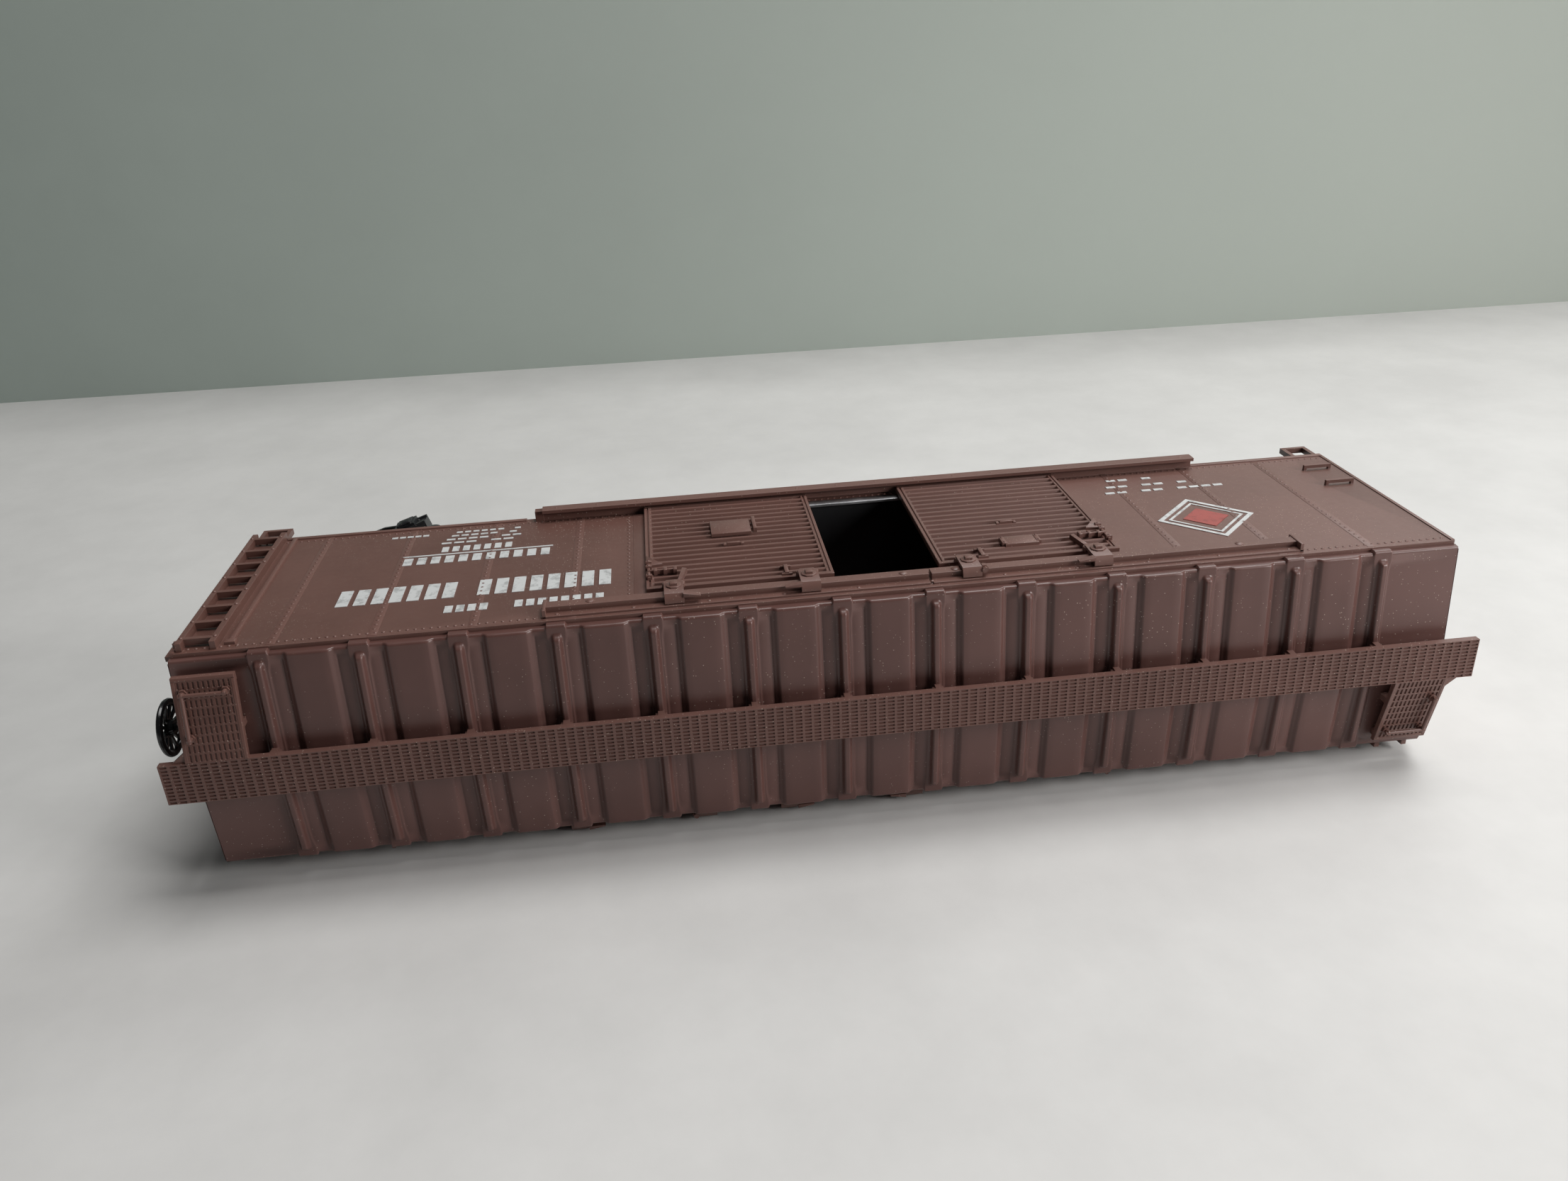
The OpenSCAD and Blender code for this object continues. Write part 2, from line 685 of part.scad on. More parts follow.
module knuckle(end) {
    half_t = 0.9;
    p = knuckle_pin;
    color(black) at_end(end) translate([p[0], p[1], coupler_z - half_t]) difference() {
        union() {
            cylinder(h = 2 * half_t, r = 0.85);
            linear_extrude(2 * half_t)
                polygon([[0, 0.6], [0.9, 0.8], [1.6, 0.1], [1.7, -1.2], [1.3, -2], [0.5, -2],
                         [0.6, -1], [0, -0.6]]);
        }
        translate([0, 0, -1]) cylinder(h = 4, r = knuckle_pin_r + knuckle_gap);
    }
}

module knuckle_1() { knuckle(1); }
module knuckle_2() { knuckle(-1); }

module coupler_cover(end) {
    color(steel) at_end(end) difference() {
        block([draft_x0, -2.4, pad_z - 0.3], [draft_x1, 2.4, pad_z + 0.1]);
        translate([coupler_pivot_x, 0, pad_z - 1]) cylinder(h = 2, r = coupler_pin_r);
    }
}

module coupler_cover_1() { coupler_cover(1); }
module coupler_cover_2() { coupler_cover(-1); }

module coupler_screw(end) {
    color(steel) at_end(end) translate([coupler_pivot_x, 0, 0]) difference() {
        union() {
            translate([0, 0, pad_z - 1]) cylinder(h = 0.7, r = 1.3);
            translate([0, 0, pad_z - 0.4]) cylinder(h = 3.4, r = coupler_pin_r);
        }
        block([-2, -0.2, pad_z - 1.1], [2, 0.2, pad_z - 0.7]);
    }
}

module coupler_screw_1() { coupler_screw(1); }
module coupler_screw_2() { coupler_screw(-1); }

body_shell();
running_board();
door_front_right();
door_front_left();
door_rear_left();
door_rear_right();
underframe();
steel_weight_1();
steel_weight_2();
brake_cylinder();
air_reservoir();
control_valve();
brake_lever();
brake_rod_long();
brake_rod_short();
train_line();
brake_housing();
brake_step();
brake_wheel();
chain_rod();
truck_frame_1();
truck_screw_1();
axle_1();
wheel_1();
wheel_2();
axle_2();
wheel_3();
wheel_4();
truck_frame_2();
truck_screw_2();
axle_3();
wheel_5();
wheel_6();
axle_4();
wheel_7();
wheel_8();
coupler_1();
knuckle_1();
coupler_cover_1();
coupler_screw_1();
coupler_2();
knuckle_2();
coupler_cover_2();
coupler_screw_2();
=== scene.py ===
import json
import math

import bmesh
import bpy
from mathutils import Matrix, Vector


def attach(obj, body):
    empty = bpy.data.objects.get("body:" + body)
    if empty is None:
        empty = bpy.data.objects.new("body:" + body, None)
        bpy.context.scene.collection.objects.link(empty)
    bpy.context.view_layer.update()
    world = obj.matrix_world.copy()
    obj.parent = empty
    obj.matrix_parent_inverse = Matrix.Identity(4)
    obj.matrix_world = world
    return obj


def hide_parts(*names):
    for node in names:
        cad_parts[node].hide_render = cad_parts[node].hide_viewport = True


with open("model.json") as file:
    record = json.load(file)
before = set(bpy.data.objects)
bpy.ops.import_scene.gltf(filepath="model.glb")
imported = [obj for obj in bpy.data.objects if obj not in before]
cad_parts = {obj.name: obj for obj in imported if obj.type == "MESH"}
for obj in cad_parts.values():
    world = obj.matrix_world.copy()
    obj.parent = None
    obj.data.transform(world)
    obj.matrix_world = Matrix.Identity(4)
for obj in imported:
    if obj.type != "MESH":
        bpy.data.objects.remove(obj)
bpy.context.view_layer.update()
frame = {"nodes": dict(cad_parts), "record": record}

# ------------------------------------------------------------------ sizes, in millimetres
MM = 0.001
HALF_L = 89.0
HALF_W = 16.75
SILL_Z = 11.5
SIDE_TOP = 49.5
ROOF_HALF = 15.85
EAVE_Z = 50.5
RIDGE_Z = 51.7
RIB_PITCH = 12.95
RIBS = [i * RIB_PITCH for i in range(-6, 7)]
PADS = [(i + 0.5) * RIB_PITCH for i in range(-6, 6)]
WALK_HALF_L = 92.3
WALK_HALF_W = 3.05
WALK_Z = 54.7
CAR = "car"


# ------------------------------------------------------------------ mesh helpers
def circle(count, start=0.0):
    """Angles evenly spread round a full turn."""
    return [start + math.tau * i / count for i in range(count)]


def polygon(u, v, radius, sides, start=0.0):
    """Corners of a regular outline round (u, v)."""
    return [(u + radius * math.cos(t), v + radius * math.sin(t)) for t in circle(sides, start)]


def add_object(name, data):
    obj = bpy.data.objects.new(name, data)
    bpy.context.scene.collection.objects.link(obj)
    return obj


class Shape:
    """Collects the points and faces of one piece, in millimetres."""

    def __init__(self):
        self.points = []
        self.faces = []

    def add(self, points, faces):
        base = len(self.points)
        self.points += [tuple(p) for p in points]
        self.faces += [tuple(base + i for i in face) for face in faces]

    def loft(self, rings, cap_start=True, cap_end=True):
        """Skins rings of equally many points."""
        n = len(rings[0])
        faces = []
        for k in range(len(rings) - 1):
            for i in range(n):
                j = (i + 1) % n
                faces.append((k * n + i, k * n + j, (k + 1) * n + j, (k + 1) * n + i))
        if cap_start:
            faces.append(tuple(reversed(range(n))))
        if cap_end:
            faces.append(tuple(range((len(rings) - 1) * n, len(rings) * n)))
        self.add([p for ring in rings for p in ring], faces)

    def prism(self, outline, start, end, place, chamfer=0.0):
        """An outline pushed from start to end; place(u, v, w) says where a point goes."""
        cu = sum(u for u, v in outline) / len(outline)
        cv = sum(v for u, v in outline) / len(outline)

        def shrunk(value, centre, inset):
            return value - math.copysign(min(inset, abs(value - centre)), value - centre)

        def ring(inset, w):
            return [place(shrunk(u, cu, inset), shrunk(v, cv, inset), w) for u, v in outline]

        rings = [ring(0, start)]
        if chamfer:
            step = math.copysign(chamfer, end - start)
            rings += [ring(0, end - step), ring(chamfer * 0.3, end - step * 0.35), ring(chamfer, end)]
        else:
            rings.append(ring(0, end))
        self.loft(rings)

    def block(self, low, high, chamfer=0.0):
        """A block whose edges along Z are sharp and whose top edges are chamfered."""
        outline = [(low[0], low[1]), (high[0], low[1]), (high[0], high[1]), (low[0], high[1])]
        self.prism(outline, low[2], high[2], lambda u, v, w: (u, v, w), chamfer)

    def rod(self, start, end, radius, sides=10, end_radius=None):
        a, b = Vector(start), Vector(end)
        turn = (b - a).to_track_quat("Z", "Y")
        rings = []
        for centre, r in ((a, radius), (b, radius if end_radius is None else end_radius)):
            rings.append([centre + turn @ Vector((r * math.cos(t), r * math.sin(t), 0))
                          for t in circle(sides)])
        self.loft(rings)

    def dome(self, centre, out, radius, height, sides=8):
        """A rivet head: a low dome standing on a surface whose normal is out."""
        c, out = Vector(centre), Vector(out)
        turn = out.to_track_quat("Z", "Y")
        rings = []
        for reach, rise in ((1, -0.3), (1, 0.25), (0.62, 0.85)):
            rings.append([c + turn @ Vector((radius * reach * math.cos(t), radius * reach * math.sin(t),
                                             height * rise))
                          for t in circle(sides)])
        rings.append([c + out * height + (p - c - out * height * 0.85) * 0.3 for p in rings[-1]])
        self.loft(rings)

    def half_turn(self):
        """Adds a copy turned half round about the car's vertical axis."""
        self.add([(-x, -y, z) for x, y, z in self.points], self.faces)

    def turn_round(self):
        """Turns the shape half round about the car's vertical axis."""
        self.points = [(-x, -y, z) for x, y, z in self.points]

    def move(self, angle, offset):
        """Turns the shape about the vertical axis by angle degrees, then shifts it."""
        c, s = math.cos(math.radians(angle)), math.sin(math.radians(angle))
        self.points = [(x * c - y * s + offset[0], x * s + y * c + offset[1], z + offset[2])
                       for x, y, z in self.points]

    def mirrored_y(self):
        """Adds a copy mirrored to the other side of the centre line."""
        self.add([(x, -y, z) for x, y, z in self.points], [tuple(reversed(f)) for f in self.faces])

    def coil(self, x, y, z0, z1, radius, wire, turns):
        """A coil spring standing upright."""
        rings = []
        count = int(turns * 10)
        for i in range(count + 1):
            a = math.tau * turns * i / count
            out = Vector((math.cos(a), math.sin(a), 0))
            centre = Vector((x, y, z0 + (z1 - z0) * i / count)) + out * radius
            rings.append([centre + out * (wire * math.cos(t)) + Vector((0, 0, wire * math.sin(t)))
                          for t in circle(6)])
        self.loft(rings)

    def piece(self, name, material, body=CAR, slot="brown_plastic", smooth_angle=35):
        """Makes the Blender object and lets it ride on a CAD body."""
        mesh = bpy.data.meshes.new(name)
        mesh.from_pydata([(x * MM, y * MM, z * MM) for x, y, z in self.points], [], self.faces)
        bm = bmesh.new()
        bm.from_mesh(mesh)
        bmesh.ops.recalc_face_normals(bm, faces=bm.faces)
        bm.to_mesh(mesh)
        bm.free()
        mesh.materials.append(material)
        mesh.polygons.foreach_set("use_smooth", [True] * len(mesh.polygons))
        mesh.set_sharp_from_angle(angle=math.radians(smooth_angle))
        obj = add_object(name, mesh)
        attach(obj, body)
        return obj


def on_side(x, z, out):
    """A point that stands out from the -Y side sheet."""
    return (x, -(HALF_W + out), z)


def side_plate(shape, x0, x1, z0, z1, out, chamfer=0.05, sink=0.06, base=0.0):
    """A plate on the -Y side that stands out from base by out."""
    shape.prism([(x0, z0), (x1, z0), (x1, z1), (x0, z1)], base - sink, base + out, on_side, chamfer)


def side_rivet(shape, x, z, radius=0.2, height=0.09, base=0.0):
    shape.dome(on_side(x, z, base), (0, -1, 0), radius, height)


def hex_bolt(shape, x, z, base, radius, height):
    shape.prism(polygon(x, z, radius, 6), base - 0.1, base + height, on_side, 0.06)


def steps(start, end, pitch):
    """Evenly spread places from start to end, about a pitch apart."""
    count = max(1, round(abs(end - start) / pitch))
    return [start + (end - start) * i / count for i in range(count + 1)]


def bevel(obj, width):
    """Rounds every edge that is sharper than 40 degrees."""
    mod = obj.modifiers.new("edge", "BEVEL")
    mod.width = width * MM
    mod.segments = 2
    mod.limit_method = "ANGLE"
    mod.angle_limit = math.radians(40)


def smoothstep(a, b, x):
    """Rises smoothly from 0 at a to 1 at b."""
    t = max(0.0, min(1.0, (x - a) / (b - a)))
    return t * t * (3 - 2 * t)


# ------------------------------------------------------------------ materials
class Nodes:
    """A short way to wire shader nodes."""

    def __init__(self, name):
        self.mat = bpy.data.materials.new(name)
        self.mat.use_nodes = True
        self.tree = self.mat.node_tree
        self.shader = self.tree.nodes["Principled BSDF"]

    def add(self, kind, **values):
        node = self.tree.nodes.new(kind)
        for key, value in values.items():
            if hasattr(node, key):
                setattr(node, key, value)
            else:
                node.inputs[key.replace("_", " ")].default_value = value
        return node

    def link(self, out, socket):
        self.tree.links.new(out, socket)

    def math(self, op, a, b=None, clamp=False):
        node = self.add("ShaderNodeMath", operation=op, use_clamp=clamp)
        for socket, value in zip(node.inputs, (a, b)):
            if value is None:
                continue
            if isinstance(value, (int, float)):
                socket.default_value = value
            else:
                self.link(value, socket)
        return node.outputs[0]

    def ramp(self, fac, stops):
        node = self.add("ShaderNodeValToRGB")
        band = node.color_ramp
        while len(band.elements) < len(stops):
            band.elements.new(0.5)
        for element, (pos, value) in zip(band.elements, stops):
            element.position = pos
            element.color = value if len(value) == 4 else (*value, 1)
        self.link(fac, node.inputs[0])
        return node.outputs[0]

    def mix(self, fac, a, b, mode="MIX"):
        node = self.add("ShaderNodeMix", data_type="RGBA", blend_type=mode)
        for socket, value in ((node.inputs[0], fac), (node.inputs[6], a), (node.inputs[7], b)):
            if isinstance(value, (int, float)):
                socket.default_value = value
            elif isinstance(value, tuple):
                socket.default_value = (*value, 1) if len(value) == 3 else value
            else:
                self.link(value, socket)
        return node.outputs[2]

    def coords(self):
        return self.add("ShaderNodeTexCoord").outputs["Object"]

    def noise(self, scale, detail=3, rough=0.55, vector=None):
        node = self.add("ShaderNodeTexNoise", Scale=scale, Detail=detail, Roughness=rough)
        self.link(vector or self.coords(), node.inputs["Vector"])
        return node.outputs[0]


def grey(v):
    return (v, v, v)


DUST = (0.55, 0.45, 0.38)


def plastic(name, colour, rough, dust, wear_and_highlight=0.25):
    """Moulded plastic: mottled colour, faint grain, dust specks, and edges painted lighter, partly rubbed
    wear and partly a painted highlight.
    """
    n = Nodes(name)
    tint = 0.12
    cloud = n.noise(60, 4)
    fine = n.noise(900, 3)
    dark = tuple(c * (1 - tint) for c in colour)
    light = tuple(min(1, c * (1 + tint) + 0.003) for c in colour)
    base = n.mix(n.ramp(cloud, [(0.3, grey(0)), (0.7, grey(1))]), dark, light)
    # edges are painted lighter: partly rubbed wear, partly a painted highlight along every edge
    edge = n.add("ShaderNodeNewGeometry").outputs["Pointiness"]
    edge_wear_and_highlight_mask = n.ramp(edge, [(0.515, grey(0)), (0.56, grey(1))])
    rubbed_and_highlight = tuple(min(1, c * 1.55 + 0.03) for c in colour)
    base = n.mix(n.math("MULTIPLY", edge_wear_and_highlight_mask, wear_and_highlight), base, rubbed_and_highlight)
    # dust: tiny pale specks, thicker in patches
    cells = n.add("ShaderNodeTexVoronoi", Scale=2700.0, Randomness=1.0)
    n.link(n.coords(), cells.inputs["Vector"])
    speck = n.math("LESS_THAN", cells.outputs["Distance"], 0.19)
    patch = n.ramp(n.noise(45, 3), [(0.4, grey(0)), (0.62, grey(1))])
    pick = n.ramp(cells.outputs["Color"], [(0.72, grey(0)), (0.74, grey(1))])
    speck = n.math("MULTIPLY", n.math("MULTIPLY", speck, pick), patch)
    base = n.mix(n.math("MULTIPLY", speck, dust), base, DUST)
    n.link(base, n.shader.inputs["Base Color"])
    roughness = n.math("ADD", n.math("MULTIPLY", fine, 0.16), rough - 0.08)
    roughness = n.math("ADD", roughness, n.math("MULTIPLY", speck, 0.3), clamp=True)
    n.link(roughness, n.shader.inputs["Roughness"])
    bump = n.add("ShaderNodeBump", Strength=0.2, Distance=0.00002)
    height = n.math("ADD", fine, n.math("MULTIPLY", speck, 3.0))
    n.link(height, bump.inputs["Height"])
    n.link(bump.outputs[0], n.shader.inputs["Normal"])
    n.shader.inputs["IOR"].default_value = 1.5
    return n.mat


def metal(name, colour, rough):
    """Plated sheet metal with a cloudy shine."""
    n = Nodes(name)
    cloud = n.noise(300, 4)
    dark = tuple(c * 0.7 for c in colour)
    n.link(n.mix(n.ramp(cloud, [(0.35, grey(0)), (0.65, grey(1))]), dark, colour),
           n.shader.inputs["Base Color"])
    n.link(n.math("ADD", n.math("MULTIPLY", cloud, 0.2), rough - 0.1), n.shader.inputs["Roughness"])
    n.shader.inputs["Metallic"].default_value = 1.0
    return n.mat


def printed(name, colour):
    """Pad-printed paint, a little thin and speckled."""
    n = Nodes(name)
    full = n.ramp(n.noise(700, 4, 0.7), [(0.36, grey(0)), (0.5, grey(1))])
    thin = tuple(c * (1 - 0.35) for c in colour)
    n.link(n.mix(full, thin, colour), n.shader.inputs["Base Color"])
    n.shader.inputs["Roughness"].default_value = 0.5
    return n.mat


BROWN = plastic("brown_moulding", (0.120, 0.0555, 0.0435), 0.42, dust=0.7)
# the roof's brown is a darker copy of the shell's brown: painted shade on the roof
SHADED_BROWN_ROOF = plastic("brown_roof_shaded", (0.104, 0.0475, 0.040), 0.35, dust=0.65)
BLACK = plastic("black_moulding", (0.012, 0.0125, 0.014), 0.38, dust=0.3, wear_and_highlight=0.12)
BLACK_GLOSS = plastic("black_gloss", (0.009, 0.0095, 0.011), 0.22, dust=0.25, wear_and_highlight=0.1)
STEEL = metal("plated_steel", (0.66, 0.67, 0.69), 0.42)
WHITE_INK = printed("white_print", (0.56, 0.57, 0.57))
RED_INK = printed("red_print", (0.32, 0.06, 0.05))

# ------------------------------------------------------------------ CAD nodes that stay
SLOT_LOOK = {"brown_plastic": BROWN, "black_plastic": BLACK, "wheel_plastic": BLACK_GLOSS,
             "bright_steel": STEEL}
slot_of = {s["node"]: s["material_slot"] for s in frame["record"]["subparts"]}
for name, obj in frame["nodes"].items():
    obj.data.materials.clear()
    obj.data.materials.append(SLOT_LOOK[slot_of[name]])
for name in ("underframe", "brake_housing", "brake_step", "truck_frame_1", "truck_frame_2",
             "coupler_1", "coupler_2", "knuckle_1", "knuckle_2", "control_valve"):
    bevel(frame["nodes"][name], 0.12)


# ------------------------------------------------------------------ body shell
def roof_z(y):
    """Height of the plain roof sheet at y."""
    return RIDGE_Z - (RIDGE_Z - EAVE_Z) * abs(y) / ROOF_HALF


def moulded_shell():
    """The CAD shell without the flat facets of its roof, which roof_sheet() shapes instead."""
    mesh = frame["nodes"]["body_shell"].data.copy()
    mesh.name = "moulded_shell"
    bm = bmesh.new()
    bm.from_mesh(mesh)
    top = (SIDE_TOP + 0.02) * MM
    doomed = [f for f in bm.faces if min(v.co.z for v in f.verts) > top]
    bmesh.ops.delete(bm, geom=doomed, context="FACES")
    bmesh.ops.remove_doubles(bm, verts=bm.verts, dist=0.0000005)
    bm.to_mesh(mesh)
    bm.free()
    obj = add_object("moulded_shell", mesh)
    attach(obj, CAR)
    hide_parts("body_shell")
    bevel(obj, 0.1)


moulded_shell()


CAP_RISE, CAP_FOOT = 0.95, 0.95
FLANGE_RISE, FLANGE_HALF = 0.17, 1.12
PAD_RISE, PAD_FLAT, PAD_FOOT = 0.5, 2.5, 3.35
GROOVE_DEPTH = 0.13


def gap_to(values, x):
    """Distance from x to the nearest of the values."""
    return min(abs(v - x) for v in values)


def roof_relief(x, y):
    """Height of the seam caps, their flanges and the raised pads over the roof sheet."""
    inner = abs(y)
    d_rib, d_pad = gap_to(RIBS, x), gap_to(PADS, x)
    cap = CAP_RISE * (1 - smoothstep(0.25, CAP_FOOT, d_rib)) * (1 - smoothstep(14.6, 15.5, inner))
    flare = FLANGE_HALF + 0.28 * smoothstep(13.4, 15.0, inner)
    flange = FLANGE_RISE * (1 - smoothstep(flare - 0.1, flare + 0.1, d_rib))
    pad = PAD_RISE * (1 - smoothstep(PAD_FLAT, PAD_FOOT, d_pad))
    groove = GROOVE_DEPTH * smoothstep(PAD_FOOT, 3.5, d_pad) * (1 - smoothstep(3.65, 3.8, d_pad))
    groove *= 1 - smoothstep(15.0, 15.4, inner)
    return max(cap, flange, pad) - groove


def roof_reach(x):
    """How far the eave stands out past the roof sheet: most at the seam caps' tabs."""
    tab = 0.4 * (1 - smoothstep(1.25, 1.45, gap_to(RIBS, x)))
    return 0.32 + tab


def roof_stations():
    """Places along the car where the relief changes, close together there and wide apart elsewhere."""
    end = HALF_L + 0.15
    xs = {-end, end, -end + 0.15, end - 0.15}
    for c in RIBS:
        xs |= {c + s * d for s in (-1, 1)
               for d in (0, 0.15, 0.25, 0.37, 0.49, 0.6, 0.72, 0.84, 0.95, 1.02, 1.12, 1.22, 1.35, 1.45)}
    for c in PADS:
        xs |= {c + s * d for s in (-1, 1)
               for d in (0, 1.5, 2.5, 2.67, 2.84, 3.01, 3.18, 3.35, 3.42, 3.5, 3.65, 3.8)}
    return sorted(round(x, 4) for x in xs)


def roof_section(x, side):
    """Points of one roof half at x, from the ridge over the eave and down to the side's top."""
    reach = ROOF_HALF + roof_reach(x)
    corner = 0.42
    ys = [0, 1, 2.2, 5, 8, 11, 12.6, 13.4, 13.8, 14.2, 14.6, 14.8, 15.0, 15.2, 15.4, 15.55]
    points = [(side * y, roof_z(y) + roof_relief(x, y)) for y in ys]
    top_y = reach - corner
    top_z = roof_z(top_y) + roof_relief(x, top_y)
    drop = corner if abs(x) < HALF_L else 0.1
    for step in range(6):
        a = math.radians(18 * step)
        points.append((side * (top_y + corner * math.sin(a)), top_z - drop * (1 - math.cos(a))))
    points.append((side * reach, SIDE_TOP + 0.45))
    points.append((side * (reach - 0.02), SIDE_TOP - 0.05))
    return points


def roof_sheet():
    """The whole roof with its relief, turned down over both eaves."""
    shape = Shape()
    rows = []
    xs = roof_stations()
    for i, x in enumerate(xs):
        row = [*reversed(roof_section(x, -1)), *roof_section(x, 1)[1:]]
        if i in (0, len(xs) - 1):
            row = [(y, min(z, SIDE_TOP)) for y, z in row]
        rows.append([(x, y, z) for y, z in row])
    n = len(rows[0])
    faces = [(i * n + k, i * n + k + 1, (i + 1) * n + k + 1, (i + 1) * n + k)
             for i in range(len(rows) - 1) for k in range(n - 1)]
    shape.add([p for row in rows for p in row], faces)
    shape.piece("roof_sheet", SHADED_BROWN_ROOF, smooth_angle=50)


roof_sheet()


# ------------------------------------------------------------------ running board
def grating_lines(start, end, pitch, bar, depth_run):
    """Places across a grating: each cell's bar, the slope down, the floor and the slope up."""
    count = round((end - start) / pitch)
    pitch = (end - start) / count
    lines = [(start, 0)]
    for i in range(count):
        a = start + i * pitch
        lines += [(a + bar / 2, 0), (a + bar / 2 + depth_run, 1),
                  (a + pitch - bar / 2 - depth_run, 1), (a + pitch - bar / 2, 0)]
    lines.append((end, 0))
    return lines


def grating(shape, x0, x1, y0, y1, top, thick, pitch_x, pitch_y, depth=0.17):
    """A plate with rows of pressed cells on its upper face; top(y) gives the height of that face."""
    xs = grating_lines(x0, x1, pitch_x, 0.3, 0.08)
    ys = grating_lines(y0, y1, pitch_y, 0.24, 0.07)
    n = len(ys)
    points = [(x, y, top(y) - depth * min(dx, dy)) for x, dx in xs for y, dy in ys]
    faces = [(i * n + k, (i + 1) * n + k, (i + 1) * n + k + 1, i * n + k + 1)
             for i in range(len(xs) - 1) for k in range(n - 1)]
    shape.add(points, faces)
    edge = ([(x, y0) for x, _ in xs] + [(x1, y) for y, _ in ys[1:]]
            + [(x, y1) for x, _ in reversed(xs[:-1])] + [(x0, y) for y, _ in reversed(ys[1:-1])])
    shape.loft([[(x, y, top(y)) for x, y in edge], [(x, y, top(y) - thick) for x, y in edge]],
               cap_start=False)


def platform_z(y):
    """Height of the sloping platforms at y."""
    return WALK_Z - 0.225 * (abs(y) - WALK_HALF_W)


def roof_platform(shape):
    """The platform beside the board at the -Y side of the +X end, with its corner grab iron."""
    x0, x1 = HALF_L - 8.4, HALF_L - 0.3
    y0, y1 = -14.5, -WALK_HALF_W
    rim = 0.5

    def lean(u, v, w):
        return (u, v, platform_z(v) + w)

    grating(shape, x0 + rim, x1 - rim, y0 + rim, y1, lambda y: platform_z(y) - 0.05, 0.6, 0.62, 1.25)
    for bx0, bx1, by0, by1 in ((x0, x1, y0, y0 + rim), (x0, x0 + rim, y0 + rim, y1),
                               (x1 - rim, x1, y0 + rim, y1)):
        shape.prism([(bx0, by0), (bx1, by0), (bx1, by1), (bx0, by1)], -0.8, 0, lean, 0.08)
    for x in (x0 + 0.25, x1 - 1.25):
        for y in (y0 + 0.45, -7.6):
            shape.block((x, y, roof_z(y + 1) + 0.02), (x + 1, y + 1, platform_z(y) - 0.5))
    for y in (-11.8, -9.2, -6.4):
        outline = [(x0 + 0.3, y), (x1 - 0.3, y), (x1 - 0.3, y + 0.4), (x0 + 0.3, y + 0.4)]
        shape.prism(outline, -1.1, -0.55, lean)
    cx, cy = HALF_L - 1.7, -12.5
    posts = [Vector((x, y, platform_z(y))) for x, y in ((cx, cy), (cx - 5.4, cy), (cx, cy + 6))]
    up = Vector((0, 0, 0.8))
    for end in posts[1:]:
        out = (end - posts[0]).normalized() * 0.4
        shape.rod(posts[0] + up - out, end + up + out, 0.27, 12)
    for post in posts:
        shape.rod(post - Vector((0, 0, 0.2)), post + up, 0.34, 12)
        shape.rod(post + Vector((0, 0, 0.02)), post + Vector((0, 0, 0.3)), 0.6, 6)
        shape.dome(post + up + Vector((0, 0, 0.1)), (0, 0, 1), 0.36, 0.2, 12)


def walkway():
    """The running board with its saddles, both corner platforms and the hangers of its ends."""
    shape = Shape()
    grating(shape, -WALK_HALF_L, WALK_HALF_L, -WALK_HALF_W, WALK_HALF_W, lambda y: WALK_Z, 1, 1.3, 0.555)
    once = Shape()
    roof_platform(once)
    # gusset between the board's overhang and the platform, and the end hanger below it
    y = -WALK_HALF_W
    outline = [(HALF_L - 0.35, y + 0.1), (HALF_L + 1.6, y + 0.1), (HALF_L - 0.35, y - 1.5)]
    once.prism(outline, WALK_Z - 0.95, WALK_Z - 0.35, lambda u, v, w: (u, v, w), 0.06)
    once.block((HALF_L + 0.25, -2, WALK_Z - 2.2), (HALF_L + 1.0, 2, WALK_Z - 0.95))
    for y in (-1.6, 1.2):
        once.block((HALF_L + 0.9, y, WALK_Z - 1.5), (HALF_L + 2.7, y + 0.4, WALK_Z - 0.95))
    once.half_turn()
    shape.add(once.points, once.faces)
    for x in RIBS:
        shape.block((x - 0.8, -WALK_HALF_W + 0.5, RIDGE_Z + 0.7), (x + 0.8, WALK_HALF_W - 0.5, WALK_Z - 0.95))
        for side in (-1, 1):
            y = side * (WALK_HALF_W - 0.15)
            shape.block((x - 0.45, min(y, y - side * 0.5), roof_z(y) + 0.5),
                        (x + 0.45, max(y, y - side * 0.5), WALK_Z - 0.95))
    piece = shape.piece("walkway", BROWN, smooth_angle=25)
    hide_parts("running_board")


walkway()

# ------------------------------------------------------------------ side sheets
SEAM_PITCH = 13.2
SEAMS = [-0.2 + s * (36.9 + SEAM_PITCH * i) for s in (-1, 1) for i in range(4)]
TOP_ROW_Z = SIDE_TOP - 1.1
SILL_ROW_Z = SILL_Z + 1.75
LADDER = (HALF_L - 5.9, HALF_L - 0.7)
RAIL = (-66.7, 40.7)
RAIL_OUT = 1.1
RAIL_LEDGE_Z, RAIL_FACE_Z = 48.2, 46.6
RIVET_PITCH = 1.3


